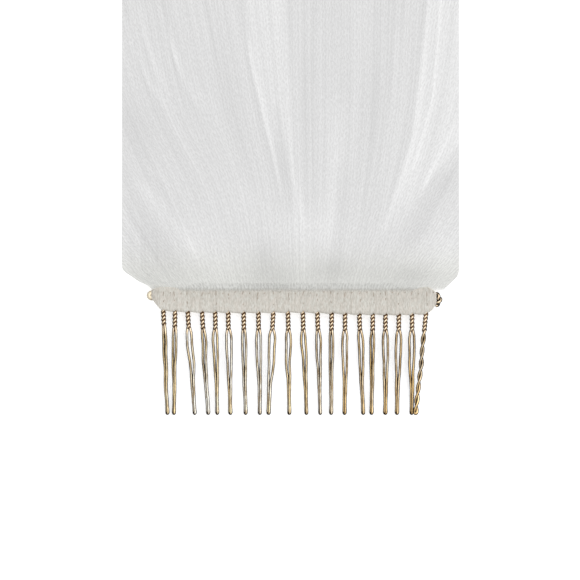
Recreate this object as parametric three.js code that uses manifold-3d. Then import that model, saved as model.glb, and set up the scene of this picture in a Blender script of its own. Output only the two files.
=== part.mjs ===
// A bridal veil laid flat on a surface: one tier of tulle, gathered along its top edge and sewn to a
// wire comb whose bar is bound with ribbon. Millimetres. +X runs along the comb, +Y from the comb to
// the hem, and +Z is up from the surface at z = 0. The origin is the middle of the laid veil.

import * as THREE from "three";
import { mergeVertices } from "three/addons/utils/BufferGeometryUtils.js";
import Module from "manifold-3d";

const { lerp, smoothstep, degToRad } = THREE.MathUtils;

const wasm = await Module();
wasm.setup();

// Driving dimensions. While the veil is drawn, y = 0 is the top edge of the ribbon binding.

const SEAM_GAP = 0.3;
const CUT_MARGIN = 1;
const MERGE_DISTANCE = 1e-4;

const TULLE_WALL = 1.0;
const TULLE_LENGTH = 760;
const TULLE_COLUMNS = 104;
const COLUMNS_PER_GATHER = 4;

const BAR_RADIUS = 0.85;
const BAR_THIN_RADIUS = 0.5;
const BAR_Y = -1.95;
const BAR_PITCH = 5.0;
const BAR_STEPS_PER_TURN = 5;

const WIRE_RADIUS = 0.3;
const WIRE_SIDES = 5;
const STRAND_OFFSET = 0.4;

const BINDING_THICKNESS = 3.4;
const BINDING_LEFT = -38.9;
const BINDING_RIGHT = 37.9;
const BINDING_LOWER_LEFT = -6.85;
const BINDING_LOWER_RIGHT = -7.2;
const NOTCH_RISE = 0.65;
const NOTCH_HALF_WIDTH = 0.85;

const COMB_Z = BINDING_THICKNESS / 2;

// The tulle's sections from the comb to the hem: its side edges, the height of its folds, the depth
// of the small gathers that the sewing makes, and the depth of the loose ripples further down.
const SECTIONS = [
  { y: 0.3, left: -39.2, right: 38.9, rise: 2.6, gather: 0.4, ripple: 0 },
  { y: 3.3, left: -43.4, right: 42.4, rise: 2.8, gather: 0.35, ripple: 0 },
  { y: 6.3, left: -47.6, right: 45.0, rise: 3.2, gather: 0.35, ripple: 0 },
  { y: 10, left: -47.8, right: 45.1, rise: 3.5, gather: 0.3, ripple: 0 },
  { y: 16, left: -47.8, right: 45.1, rise: 3.8, gather: 0.2, ripple: 0 },
  { y: 25, left: -47.7, right: 45.0, rise: 4.1, gather: 0.1, ripple: 0 },
  { y: 36, left: -47.7, right: 45.0, rise: 4.4, gather: 0, ripple: 0 },
  { y: 50, left: -47.7, right: 45.0, rise: 4.8, gather: 0, ripple: 0 },
  { y: 64, left: -47.7, right: 45.0, rise: 5.3, gather: 0, ripple: 0 },
  { y: 79, left: -47.7, right: 45.0, rise: 6.0, gather: 0, ripple: 0.2 },
  { y: 110, left: -55.5, right: 53, rise: 8.0, gather: 0, ripple: 0.6 },
  { y: 160, left: -77, right: 75.5, rise: 11.5, gather: 0, ripple: 1.2 },
  { y: 230, left: -108, right: 107, rise: 15.5, gather: 0, ripple: 1.8 },
  { y: 320, left: -145, right: 145, rise: 18.5, gather: 0, ripple: 2.4 },
  { y: 430, left: -180, right: 180, rise: 20, gather: 0, ripple: 3.0 },
  { y: 550, left: -214, right: 214, rise: 20, gather: 0, ripple: 3.4 },
  { y: 660, left: -242, right: 242, rise: 18, gather: 0, ripple: 3.6 },
  { y: TULLE_LENGTH, left: -260, right: 260, rise: 15, gather: 0, ripple: 3.8 },
];

// The loose ripples are the sum of two waves: each one's share of the ripple's depth, its waves and
// its shift across the cloth in radians, and how far down the cloth it slants by one radian.
const RIPPLE_WAVES = [
  { share: 0.6, waves: 41, shift: 0, slant: 130 },
  { share: 0.36, waves: 83, shift: 1, slant: -90 },
];

// The edges of the folds, left to right. The cloth rises to a puff at one and falls at the next, in
// turn. Each row gives one edge's x at the FAN_STATIONS, where the edges fan out from the comb and
// those near the sides run off the cloth, and its x at the hem. From the last fan station on, an
// edge drifts from its share of the veil's width there to its share at the hem.
const FAN_STATIONS = { comb: 0, near: 25, middle: 50, far: 79 };
const FOLD_EDGES = [
  { comb: -41.0, near: -64.0, middle: -86.0, far: -102.0, hem: -540 },
  { comb: -38.0, near: -58.0, middle: -76.0, far: -90.0, hem: -480 },
  { comb: -34.8, near: -51.5, middle: -66.0, far: -78.0, hem: -420 },
  { comb: -31.8, near: -46.0, middle: -57.5, far: -68.0, hem: -365 },
  { comb: -29.0, near: -42.0, middle: -53.0, far: -62.0, hem: -330 },
  { comb: -26.0, near: -38.0, middle: -49.0, far: -57.0, hem: -292 },
  { comb: -22.6, near: -32.0, middle: -43.5, far: -52.0, hem: -255 },
  { comb: -19.4, near: -27.2, middle: -38.8, far: -46.5, hem: -226 },
  { comb: -16.3, near: -23.4, middle: -35.5, far: -42.0, hem: -196 },
  { comb: -13.3, near: -19.6, middle: -31.0, far: -37.0, hem: -163 },
  { comb: -10.4, near: -14.6, middle: -23.0, far: -29.5, hem: -130 },
  { comb: -7.6, near: -10.8, middle: -17.5, far: -23.0, hem: -102 },
  { comb: -4.9, near: -7.4, middle: -12.8, far: -17.8, hem: -72 },
  { comb: -2.2, near: -4.0, middle: -9.1, far: -13.6, hem: -44 },
  { comb: 1.2, near: 0.0, middle: -1.6, far: -2.2, hem: -8 },
  { comb: 4.4, near: 5.0, middle: 5.2, far: 5.2, hem: 24 },
  { comb: 11.5, near: 16.0, middle: 18.0, far: 18.2, hem: 66 },
  { comb: 14.5, near: 20.0, middle: 23.0, far: 24.0, hem: 100 },
  { comb: 18.8, near: 25.0, middle: 29.5, far: 31.5, hem: 142 },
  { comb: 22.0, near: 28.8, middle: 33.9, far: 36.3, hem: 176 },
  { comb: 27.0, near: 38.0, middle: 49.0, far: 56.0, hem: 232 },
  { comb: 31.2, near: 45.0, middle: 58.0, far: 67.0, hem: 270 },
  { comb: 35.0, near: 52.0, middle: 68.0, far: 80.0, hem: 330 },
  { comb: 38.6, near: 60.0, middle: 78.0, far: 92.0, hem: 400 },
  { comb: 42.5, near: 68.0, middle: 88.0, far: 104.0, hem: 470 },
];
const FIRST_EDGE_RISES = false;

// A fold bulges over its edges by a share of its width that grows from narrow folds to wide ones.
const FOLD_BULGE = 0.11;
const NARROW_FOLD = 3.5;
const WIDE_FOLD = 9;
const FOLD_STEEPNESS = 0.9;
const TROUGH_DEPTH = 1.15;
const FOLD_LEAN = 0.25;
const PLAIN_EDGE = 0.07;
const SIDE_CALM = 0.4;

// The lower corners are cut round, from where the hem starts to draw up at the sides.
const CORNER_DROP = 120;
const CORNER_POWER = 2.8;
const CORNER_ROUNDNESS = 0.6;
const CORNER_START = 260;
const HEM_SWAY = 5;
const HEM_SWAY_WAVES = 23;

// The bar's route in the plane of the comb: both ends bend down past the ends of the binding.
const BAR_ROUTE = [
  { x: -39.75, y: -3.3 },
  { x: -40.0, y: -2.4 },
  { x: -39.2, y: BAR_Y },
  { x: -37.5, y: BAR_Y },
  { x: 36.0, y: BAR_Y },
  { x: 38.2, y: BAR_Y },
  { x: 39.25, y: -2.9 },
  { x: 39.15, y: -4.7 },
];

// The binding's ends, cut off slantwise: the distance in from each end, and both edges there.
const BINDING_LEFT_END = [
  { inset: 0, lower: -3.9, upper: -0.2 },
  { inset: 0.9, lower: -5.3, upper: 0 },
];
const BINDING_RIGHT_END = [
  { inset: 0.6, lower: -6.9, upper: 0 },
  { inset: 0, lower: -5.6, upper: -0.3 },
];

// The binding's outline across the comb, flat below and rounded at both edges and on top: the
// distance in from the lower or the upper edge, and the height.
const BINDING_OUTLINE = [
  { edge: "lower", inset: 0.5, z: 0 },
  { edge: "upper", inset: 0.5, z: 0 },
  { edge: "upper", inset: 0, z: 0.7 },
  { edge: "upper", inset: 0, z: 2.3 },
  { edge: "upper", inset: 0.4, z: 3.1 },
  { edge: "upper", inset: 1.2, z: BINDING_THICKNESS },
  { edge: "lower", inset: 1.5, z: BINDING_THICKNESS },
  { edge: "lower", inset: 0.6, z: 3.1 },
  { edge: "lower", inset: 0, z: 2.3 },
  { edge: "lower", inset: 0, z: 0.7 },
];

// Each tooth's x where it leaves the binding and at its tip, the turn of its loop about its own
// length in degrees, and the height of its tip's centre.
const TEETH = [
  { root: -36.3, tip: -35.2, turn: 60, lift: 0.8 },
  { root: -33.1, tip: -33.4, turn: 64, lift: 0.8 },
  { root: -29.6, tip: -27.7, turn: 12, lift: 0.8 },
  { root: -25.7, tip: -24.0, turn: 58, lift: 0.8 },
  { root: -22.1, tip: -21.5, turn: 34, lift: 0.8 },
  { root: -18.5, tip: -17.9, turn: 10, lift: 0.8 },
  { root: -14.3, tip: -13.7, turn: 62, lift: 0.8 },
  { root: -10.2, tip: -9.8, turn: 36, lift: 0.8 },
  { root: -6.1, tip: -7.4, turn: 8, lift: 0.8 },
  { root: -2.1, tip: -1.7, turn: 38, lift: 0.8 },
  { root: 2.0, tip: 3.0, turn: 30, lift: 0.8 },
  { root: 6.0, tip: 6.8, turn: 40, lift: 0.8 },
  { root: 9.9, tip: 9.8, turn: 60, lift: 0.8 },
  { root: 13.6, tip: 13.5, turn: 32, lift: 0.8 },
  { root: 17.5, tip: 18.6, turn: 42, lift: 0.8 },
  { root: 21.2, tip: 20.9, turn: 62, lift: 0.8 },
  { root: 24.7, tip: 24.7, turn: 28, lift: 0.8 },
  { root: 28.4, tip: 27.9, turn: 10, lift: 0.8 },
  { root: 32.0, tip: 31.9, turn: 12, lift: 0.8 },
  { root: 35.9, tip: 33.0, turn: 66, lift: 2.15 },
];

// A tooth's length: the stem in the binding, the twisted neck, and the open loop down to its bend.
const STEM_TOP_Y = -3.5;
const NECK_TOP_Y = -6.8;
const NECK_END_Y = -11.2;
const NECK_STEPS = 6;
const NECK_TURNS = 1;
const LOOP = [
  { y: -12.8, offset: 0.62 },
  { y: -20.0, offset: 0.6 },
  { y: -28.0, offset: 0.44 },
  { y: -33.2, offset: 0.37 },
];
const BEND_Y = -34.4;
const BEND_STEPS = 4;
const BEND_OFFSET = 0.36;
const TOOTH_BOW = 1.3;

const FINISHES = {
  tulle: { color: 0xe6e6e6, roughness: 0.9, metalness: 0, transparent: true, opacity: 0.75 },
  ribbon: { color: 0xcfccc2, roughness: 0.75, metalness: 0 },
  gilt: { color: 0xc9a774, roughness: 0.3, metalness: 1 },
};

// Smooth curve through a table: value at `at`, from rows of stations and values.
function through(stations, values, at) {
  const last = stations.length - 1;
  let i = 0;
  while (i < last - 1 && at > stations[i + 1]) i += 1;
  const span = stations[i + 1] - stations[i];
  const t = THREE.MathUtils.clamp((at - stations[i]) / span, 0, 1);
  const slope = (k) => {
    const a = Math.max(k - 1, 0);
    const b = Math.min(k + 1, last);
    return (values[b] - values[a]) / (stations[b] - stations[a]);
  };
  const t2 = t * t;
  const t3 = t2 * t;
  return (
    (2 * t3 - 3 * t2 + 1) * values[i] +
    (t3 - 2 * t2 + t) * span * slope(i) +
    (3 * t2 - 2 * t3) * values[i + 1] +
    (t3 - t2) * span * slope(i + 1)
  );
}

// The share of a section's width that lies to the left of x.
function shareOfWidth(x, section) {
  return (x - section.left) / (section.right - section.left);
}

// The x of every fold edge in one section.
function edgesAt(section) {
  const stations = Object.values(FAN_STATIONS);
  const far = SECTIONS.find(({ y }) => y === FAN_STATIONS.far);
  const hem = SECTIONS.at(-1);
  const drift = smoothstep(section.y, far.y, hem.y);
  return FOLD_EDGES.map((edge) => {
    if (section.y <= far.y) {
      return through(stations, [edge.comb, edge.near, edge.middle, edge.far], section.y);
    }
    const share = lerp(shareOfWidth(edge.far, far), shareOfWidth(edge.hem, hem), drift);
    return lerp(section.left, section.right, share);
  });
}

// The middle of the cloth at fraction u of its width, in one section.
function clothPoint(u, section, edges) {
  const { y, left, right, rise, gather, ripple } = section;
  const flatX = lerp(left, right, u);
  let k = 0;
  while (k < edges.length - 2 && flatX >= edges[k + 1]) k += 1;
  const width = edges[k + 1] - edges[k];
  const t = (flatX - edges[k]) / width;
  const isPuff = (k % 2 === 0) === FIRST_EDGE_RISES;
  const fromSide = Math.min(u, 1 - u);
  const free = smoothstep(fromSide, 0, PLAIN_EDGE);

  const height = Math.min(rise, width * FOLD_STEEPNESS) * lerp(SIDE_CALM, 1, free);
  const swell = (height / 2) * Math.sin(Math.PI * t);
  const fold = isPuff ? swell : -swell * TROUGH_DEPTH;
  const gathers = gather * Math.cos((2 * Math.PI * TULLE_COLUMNS * u) / COLUMNS_PER_GATHER);
  const ripples = RIPPLE_WAVES.reduce(
    (sum, { share, waves, shift, slant }) => sum + ripple * share * Math.sin(waves * u + y / slant + shift),
    0,
  );
  const z = Math.max(0, rise / 2 + fold + gathers / 2 + ripples);

  const across = 2 * u - 1;
  const lean = FOLD_LEAN * across * (z - rise / 2);
  const roundness = FOLD_BULGE * smoothstep(width, NARROW_FOLD, WIDE_FOLD);
  const bulge = roundness * width * Math.sin(2 * Math.PI * t);
  const inside = 1 - Math.abs(across) ** CORNER_POWER;
  const drop = CORNER_DROP * (1 - inside ** CORNER_ROUNDNESS);
  const sway = HEM_SWAY * Math.sin(HEM_SWAY_WAVES * u);
  const down = smoothstep(y, CORNER_START, TULLE_LENGTH);
  return new THREE.Vector3(flatX + free * (lean - bulge), y - down * (drop + sway), z + TULLE_WALL / 2);
}

// A sheet of the cloth as a grid, one row of vertices for each section.
function clothSheet() {
  const rows = SECTIONS.length - 1;
  const sheet = new THREE.PlaneGeometry(1, 1, TULLE_COLUMNS, rows);
  const position = sheet.getAttribute("position");
  SECTIONS.forEach((section, row) => {
    const edges = edgesAt(section);
    for (let column = 0; column <= TULLE_COLUMNS; column += 1) {
      const point = clothPoint(column / TULLE_COLUMNS, section, edges);
      const index = (rows - row) * (TULLE_COLUMNS + 1) + column;
      position.setXYZ(index, point.x, point.y, point.z);
    }
  });
  sheet.computeVertexNormals();
  return sheet;
}

// A closed wall of the given thickness round a grid sheet of `columns` by `rows` cells.
function wallFromSheet(sheet, thickness, columns, rows) {
  const middle = sheet.getAttribute("position");
  const normal = sheet.getAttribute("normal");
  const count = middle.count;
  const points = [];
  for (const side of [0.5, -0.5]) {
    for (let i = 0; i < count; i += 1) {
      const n = new THREE.Vector3().fromBufferAttribute(normal, i);
      const p = new THREE.Vector3().fromBufferAttribute(middle, i);
      points.push(p.addScaledVector(n, side * thickness));
    }
  }
  const faces = [];
  const cells = sheet.index.array;
  for (let i = 0; i < cells.length; i += 3) {
    const [a, b, c] = [cells[i], cells[i + 1], cells[i + 2]];
    faces.push(a, b, c, a + count, c + count, b + count);
  }
  const rim = [];
  for (let c = 0; c < columns; c += 1) {
    rim.push(c);
  }
  for (let r = 0; r < rows; r += 1) {
    rim.push(r * (columns + 1) + columns);
  }
  for (let c = columns; c > 0; c -= 1) {
    rim.push(rows * (columns + 1) + c);
  }
  for (let r = rows; r > 0; r -= 1) {
    rim.push(r * (columns + 1));
  }
  rim.forEach((from, i) => {
    const to = rim[(i + 1) % rim.length];
    faces.push(from, to, from + count, to, to + count, from + count);
  });
  const geometry = new THREE.BufferGeometry().setFromPoints(points);
  geometry.setIndex(faces);
  return geometry;
}

// A solid through rings of points, all rings with the same number of points, ends capped.
function loft(rings) {
  const sides = rings[0].length;
  const faces = [];
  for (let r = 0; r < rings.length - 1; r += 1) {
    for (let s = 0; s < sides; s += 1) {
      const a = r * sides + s;
      const b = r * sides + ((s + 1) % sides);
      faces.push(a, b, a + sides, b, b + sides, a + sides);
    }
  }
  const end = (rings.length - 1) * sides;
  for (let s = 1; s < sides - 1; s += 1) {
    faces.push(0, s + 1, s, end, end + s, end + s + 1);
  }
  const geometry = new THREE.BufferGeometry().setFromPoints(rings.flat());
  geometry.setIndex(faces);
  return geometry;
}

// A path whose steps lie exactly on the given points, so that they can be closer where it bends.
class StepPath extends THREE.Curve {
  constructor(points) {
    super();
    this.points = points;
  }

  getPoint(t, target = new THREE.Vector3()) {
    const last = this.points.length - 1;
    const at = THREE.MathUtils.clamp(t, 0, 1) * last;
    const i = Math.min(Math.floor(at), last - 1);
    return target.lerpVectors(this.points[i], this.points[i + 1], at - i);
  }

  getUtoTmapping(u) {
    return u;
  }
}

function wireAlong(points) {
  const outline = [];
  for (let i = 0; i < WIRE_SIDES; i += 1) {
    const angle = (2 * Math.PI * i) / WIRE_SIDES;
    outline.push(new THREE.Vector2(WIRE_RADIUS * Math.cos(angle), WIRE_RADIUS * Math.sin(angle)));
  }
  const section = new THREE.Shape(outline);
  return new THREE.ExtrudeGeometry(section, {
    steps: points.length - 1,
    extrudePath: new StepPath(points),
  });
}

// The centre of a tooth at distance y, between its two strands.
function toothCentre({ root, tip, lift }, y) {
  const along = Math.max(0, (NECK_TOP_Y - y) / (NECK_TOP_Y - BEND_Y));
  const bow = TOOTH_BOW * Math.sin(Math.PI * along);
  return new THREE.Vector3(lerp(root, tip, along), y, lerp(COMB_Z, lift, along) + bow);
}

// One strand's point, `offset` from the centre in the direction of `angle` about the tooth.
function strandPoint(tooth, y, offset, angle) {
  const out = new THREE.Vector3(Math.cos(angle), 0, Math.sin(angle));
  return toothCentre(tooth, y).addScaledVector(out, offset);
}

// A tooth is one wire: down one strand, round the bend at the tip and back up the other.
function toothGeometry(tooth) {
  const turn = degToRad(tooth.turn);
  const strand = (side) => {
    const face = side > 0 ? 0 : Math.PI;
    const stem = strandPoint(tooth, STEM_TOP_Y, STRAND_OFFSET, turn - NECK_TURNS * 2 * Math.PI + face);
    const points = [stem];
    for (let step = 0; step <= NECK_STEPS; step += 1) {
      const left = 1 - step / NECK_STEPS;
      const angle = turn - left * NECK_TURNS * 2 * Math.PI + face;
      points.push(strandPoint(tooth, lerp(NECK_END_Y, NECK_TOP_Y, left), STRAND_OFFSET, angle));
    }
    LOOP.forEach(({ y, offset }) => points.push(strandPoint(tooth, y, offset, turn + face)));
    return points;
  };
  const bend = [];
  for (let step = 0; step <= BEND_STEPS; step += 1) {
    const angle = (Math.PI * step) / BEND_STEPS;
    const y = BEND_Y - BEND_OFFSET * Math.sin(angle);
    const centre = toothCentre(tooth, BEND_Y).setY(y);
    const out = new THREE.Vector3(Math.cos(turn), 0, Math.sin(turn));
    bend.push(centre.addScaledVector(out, BEND_OFFSET * Math.cos(angle)));
  }
  return wireAlong([...strand(1), ...bend, ...strand(-1).reverse()]);
}

// One ring of the bar: the outline of two twisted wires, turned about the bar's length.
function barRing(centre, tangent, turn) {
  const across = new THREE.Vector3(-tangent.y, tangent.x, 0);
  const up = new THREE.Vector3(0, 0, 1);
  return [BAR_RADIUS, BAR_THIN_RADIUS, BAR_RADIUS, BAR_THIN_RADIUS].map((radius, i) => {
    const angle = turn + (Math.PI * i) / 2;
    return centre
      .clone()
      .addScaledVector(across, radius * Math.cos(angle))
      .addScaledVector(up, radius * Math.sin(angle));
  });
}

function barGeometry() {
  const places = BAR_ROUTE.map(({ x, y }) => new THREE.Vector3(x, y, COMB_Z));
  const route = new THREE.CatmullRomCurve3(places, false, "centripetal");
  const steps = Math.round((route.getLength() / BAR_PITCH) * BAR_STEPS_PER_TURN);
  const rings = [];
  for (let step = 0; step <= steps; step += 1) {
    const at = step / steps;
    const turn = (2 * Math.PI * step) / BAR_STEPS_PER_TURN;
    rings.push(barRing(route.getPointAt(at), route.getTangentAt(at), turn));
  }
  return loft(rings);
}

// The lower edge of the binding at x, without the notches.
function bindingLower(x) {
  return lerp(BINDING_LOWER_LEFT, BINDING_LOWER_RIGHT, (x - BINDING_LEFT) / (BINDING_RIGHT - BINDING_LEFT));
}

// Stations of the binding, left to right: its slanted ends, and a notch drawn in at each tooth.
function bindingStations() {
  const notches = TEETH.flatMap(({ root }) => {
    const lower = bindingLower(root);
    return [
      { x: root - NOTCH_HALF_WIDTH, lower, upper: 0 },
      { x: root, lower: lower + NOTCH_RISE, upper: 0 },
      { x: root + NOTCH_HALF_WIDTH, lower: lower + NOTCH_RISE / 2, upper: 0 },
    ];
  });
  return [
    ...BINDING_LEFT_END.map(({ inset, lower, upper }) => ({ x: BINDING_LEFT + inset, lower, upper })),
    ...notches,
    ...BINDING_RIGHT_END.map(({ inset, lower, upper }) => ({ x: BINDING_RIGHT - inset, lower, upper })),
  ];
}

function bindingSection({ x, lower, upper }) {
  return BINDING_OUTLINE.map(({ edge, inset, z }) => {
    const y = edge === "lower" ? lower + inset : upper - inset;
    return new THREE.Vector3(x, y, z);
  });
}

function boxAt(low, high) {
  const size = new THREE.Vector3().subVectors(high, low);
  const centre = new THREE.Vector3().addVectors(low, high).multiplyScalar(0.5);
  return new THREE.BoxGeometry(size.x, size.y, size.z).translate(centre.x, centre.y, centre.z);
}

function toSolid(geometry) {
  const bare = geometry.clone();
  bare.deleteAttribute("normal");
  bare.deleteAttribute("uv");
  const merged = mergeVertices(bare, MERGE_DISTANCE);
  return new wasm.Manifold(
    new wasm.Mesh({
      numProp: 3,
      vertProperties: new Float32Array(merged.getAttribute("position").array),
      triVerts: new Uint32Array(merged.index.array),
    }),
  );
}

function toGeometry(solid) {
  const mesh = solid.getMesh();
  const geometry = new THREE.BufferGeometry();
  geometry.setAttribute("position", new THREE.BufferAttribute(new Float32Array(mesh.vertProperties), 3));
  geometry.setIndex(new THREE.BufferAttribute(new Uint32Array(mesh.triVerts), 1));
  return geometry;
}

// The ribbon bound round the bar, with the bar's channel through it and a channel for each stem.
function bindingGeometry() {
  const barRoom = BAR_RADIUS + SEAM_GAP;
  const stemRoom = STRAND_OFFSET + WIRE_RADIUS + SEAM_GAP;
  let solid = toSolid(loft(bindingStations().map(bindingSection)));
  const barChannel = boxAt(
    new THREE.Vector3(BINDING_LEFT - CUT_MARGIN, BAR_Y - barRoom, COMB_Z - barRoom),
    new THREE.Vector3(BINDING_RIGHT + CUT_MARGIN, BAR_Y + barRoom, COMB_Z + barRoom),
  );
  solid = solid.subtract(toSolid(barChannel));
  TEETH.forEach(({ root }) => {
    const stemChannel = boxAt(
      new THREE.Vector3(root - stemRoom, BINDING_LOWER_RIGHT - CUT_MARGIN, COMB_Z - stemRoom),
      new THREE.Vector3(root + stemRoom, BAR_Y, COMB_Z + stemRoom),
    );
    solid = solid.subtract(toSolid(stemChannel));
  });
  return toGeometry(solid);
}

function piece(name, geometry, finish) {
  const shown = geometry.index ? geometry.toNonIndexed() : geometry;
  shown.computeVertexNormals();
  const mesh = new THREE.Mesh(shown, new THREE.MeshStandardMaterial(FINISHES[finish]));
  mesh.name = name;
  return mesh;
}

const tulleWall = wallFromSheet(clothSheet(), TULLE_WALL, TULLE_COLUMNS, SECTIONS.length - 1);
const tulle = new THREE.Group();
tulle.add(piece("veil_tulle", tulleWall, "tulle"));

const comb = new THREE.Group();
comb.add(piece("comb_binding", bindingGeometry(), "ribbon"));
comb.add(piece("comb_bar", barGeometry(), "gilt"));
TEETH.forEach((tooth, i) => {
  const name = `tooth_${String(i + 1).padStart(2, "0")}`;
  comb.add(piece(name, toothGeometry(tooth), "gilt"));
});

const veil = new THREE.Group();
veil.add(tulle, comb);
const bounds = new THREE.Box3().setFromObject(veil);
const middle = bounds.getCenter(new THREE.Vector3());
tulle.position.set(-middle.x, -middle.y, -bounds.min.z);
comb.position.copy(tulle.position);

export default veil;
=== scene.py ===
"""A bridal veil of soft net, gathered onto a ribbon-bound wire comb and laid flat on a pale floor.

Lengths in the tables are millimetres in the veil's own frame, where y = 0 is the top edge of the
ribbon binding, +Y runs down the veil to its hem and +Z is up from the floor. Every mesh is moved by
VEIL_SHIFT and turned into metres as it is made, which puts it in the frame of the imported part.
"""

import logging
import math
from collections.abc import Sequence
from dataclasses import dataclass, field
from enum import Enum

import bmesh
import bpy
import numpy as np
from mathutils import Matrix, Vector


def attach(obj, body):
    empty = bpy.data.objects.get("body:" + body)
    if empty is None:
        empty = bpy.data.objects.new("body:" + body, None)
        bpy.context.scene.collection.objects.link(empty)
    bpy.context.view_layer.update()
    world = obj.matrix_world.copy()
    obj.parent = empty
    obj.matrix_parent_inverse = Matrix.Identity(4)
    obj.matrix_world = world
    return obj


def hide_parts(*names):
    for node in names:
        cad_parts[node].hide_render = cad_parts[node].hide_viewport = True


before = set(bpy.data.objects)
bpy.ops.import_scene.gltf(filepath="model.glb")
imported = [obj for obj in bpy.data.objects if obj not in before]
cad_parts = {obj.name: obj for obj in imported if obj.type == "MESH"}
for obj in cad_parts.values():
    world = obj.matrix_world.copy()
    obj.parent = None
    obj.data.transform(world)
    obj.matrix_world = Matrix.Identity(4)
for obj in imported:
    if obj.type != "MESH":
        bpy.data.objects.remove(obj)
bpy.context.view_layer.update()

LOG = logging.getLogger("veil")
BODY = "root"
MM = 0.001
VEIL_SHIFT = Vector((0.0064697, -364.9652, 0.0))
Floats = np.ndarray
Colour = tuple[float, float, float, float]
Triple = tuple[float, float, float]
Route = tuple[tuple[float, float], ...]
Socket = bpy.types.NodeSocket
Tree = bpy.types.ShaderNodeTree


class Slot(Enum):
    """The record's material slots."""

    TULLE = "tulle"
    RIBBON = "ribbon"
    GILT_WIRE = "gilt_wire"


@dataclass(frozen=True)
class Section:
    """One section across the net: its side edges, its folds' height, its gathers and ripples."""

    y: float
    left: float
    right: float
    rise: float
    gather: float
    ripple: float


@dataclass(frozen=True)
class FoldEdge:
    """One edge of a fold: its x at the four fan stations and at the hem."""

    comb: float
    near: float
    middle: float
    far: float
    hem: float


@dataclass(frozen=True)
class Crease:
    """A crease: its route (x, y), half width, height and how densely the net lies along it, which brightens
    the net as painted light, and darkens it as painted shade where negative.
    """

    route: Route
    width: float
    height: float
    layers: float


@dataclass(frozen=True)
class Band:
    """A stretch between two routes (x, y) where the net lies more or less densely than elsewhere, painted
    lighter where denser and darker where thinner.
    """

    left: Route
    right: Route
    low: float
    fade: float
    layers: float


@dataclass(frozen=True)
class Patch:
    """A soft patch: its middle (x, y), half length along its turn, half width, turn and density, which paints
    light where positive and shade where negative.
    """

    x: float
    y: float
    length: float
    width: float
    turn: float
    layers: float


@dataclass(frozen=True)
class ToothPlan:
    """One tooth: x at its root and tip, turn of its loop above and below, height of its tip, sway."""

    root: float
    tip: float
    turn: float
    tip_turn: float
    lift: float
    sway: float
    opening: float = 1.0


@dataclass(frozen=True)
class StitchRow:
    """One stitch by each tooth. Its y, length and turn are each a middle, a sway and a rate."""

    beside: float
    y: Triple
    length: Triple
    turn: Triple


@dataclass(frozen=True)
class Ramp:
    """A smooth change between two limits."""

    low: float | Socket
    high: float | Socket
    to_low: float = 0.0
    to_high: float = 1.0


SECTIONS = (
    Section(-1.4, -38.9, 40.0, 2.6, 0.4, 0),
    Section(0.3, -40.4, 41.8, 2.6, 0.4, 0),
    Section(1.4, -42.8, 43.0, 2.7, 0.4, 0),
    Section(3.0, -45.2, 44.5, 2.8, 0.35, 0),
    Section(5.0, -47.6, 45.0, 3.1, 0.35, 0),
    Section(6.3, -47.7, 45.0, 3.2, 0.35, 0),
    Section(10, -47.8, 45.1, 3.5, 0.3, 0),
    Section(16, -47.8, 45.1, 3.8, 0.2, 0),
    Section(25, -47.7, 45.0, 4.1, 0.1, 0),
    Section(36, -47.7, 45.0, 4.4, 0, 0),
    Section(50, -47.7, 45.0, 4.8, 0, 0),
    Section(64, -47.7, 45.0, 5.3, 0, 0),
    Section(79, -47.7, 45.0, 6.0, 0, 0.2),
    Section(110, -55.5, 53, 8.0, 0, 0.6),
    Section(160, -77, 75.5, 11.5, 0, 1.2),
    Section(230, -108, 107, 15.5, 0, 1.8),
    Section(320, -145, 145, 18.5, 0, 2.4),
    Section(430, -180, 180, 20, 0, 3.0),
    Section(550, -214, 214, 20, 0, 3.4),
    Section(660, -242, 242, 18, 0, 3.6),
    Section(760, -260, 260, 15, 0, 3.8),
)

FAN_STATIONS = np.array([0.0, 25.0, 50.0, 79.0])
FOLD_EDGES = (
    FoldEdge(-41.0, -64.0, -86.0, -102.0, -540),
    FoldEdge(-38.0, -58.0, -76.0, -90.0, -480),
    FoldEdge(-34.8, -51.5, -66.0, -78.0, -420),
    FoldEdge(-31.8, -46.0, -57.5, -68.0, -365),
    FoldEdge(-29.0, -42.0, -53.0, -62.0, -330),
    FoldEdge(-26.0, -38.0, -49.0, -57.0, -292),
    FoldEdge(-22.6, -32.0, -43.5, -52.0, -255),
    FoldEdge(-19.4, -27.2, -38.8, -46.5, -226),
    FoldEdge(-16.3, -23.4, -35.5, -42.0, -196),
    FoldEdge(-13.3, -19.6, -31.0, -37.0, -163),
    FoldEdge(-10.4, -14.6, -23.0, -29.5, -130),
    FoldEdge(-7.6, -10.8, -17.5, -23.0, -102),
    FoldEdge(-4.9, -7.4, -12.8, -17.8, -72),
    FoldEdge(-2.2, -4.0, -9.1, -13.6, -44),
    FoldEdge(1.2, 0.0, -1.6, -2.2, -8),
    FoldEdge(4.4, 5.0, 5.2, 5.2, 24),
    FoldEdge(11.5, 16.0, 18.0, 18.2, 66),
    FoldEdge(14.5, 20.0, 23.0, 24.0, 100),
    FoldEdge(18.8, 25.0, 29.5, 31.5, 142),
    FoldEdge(22.0, 28.8, 33.9, 36.3, 176),
    FoldEdge(27.0, 38.0, 49.0, 56.0, 232),
    FoldEdge(31.2, 45.0, 58.0, 67.0, 270),
    FoldEdge(35.0, 52.0, 68.0, 80.0, 330),
    FoldEdge(38.6, 60.0, 78.0, 92.0, 400),
    FoldEdge(42.5, 68.0, 88.0, 104.0, 470),
)
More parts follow.
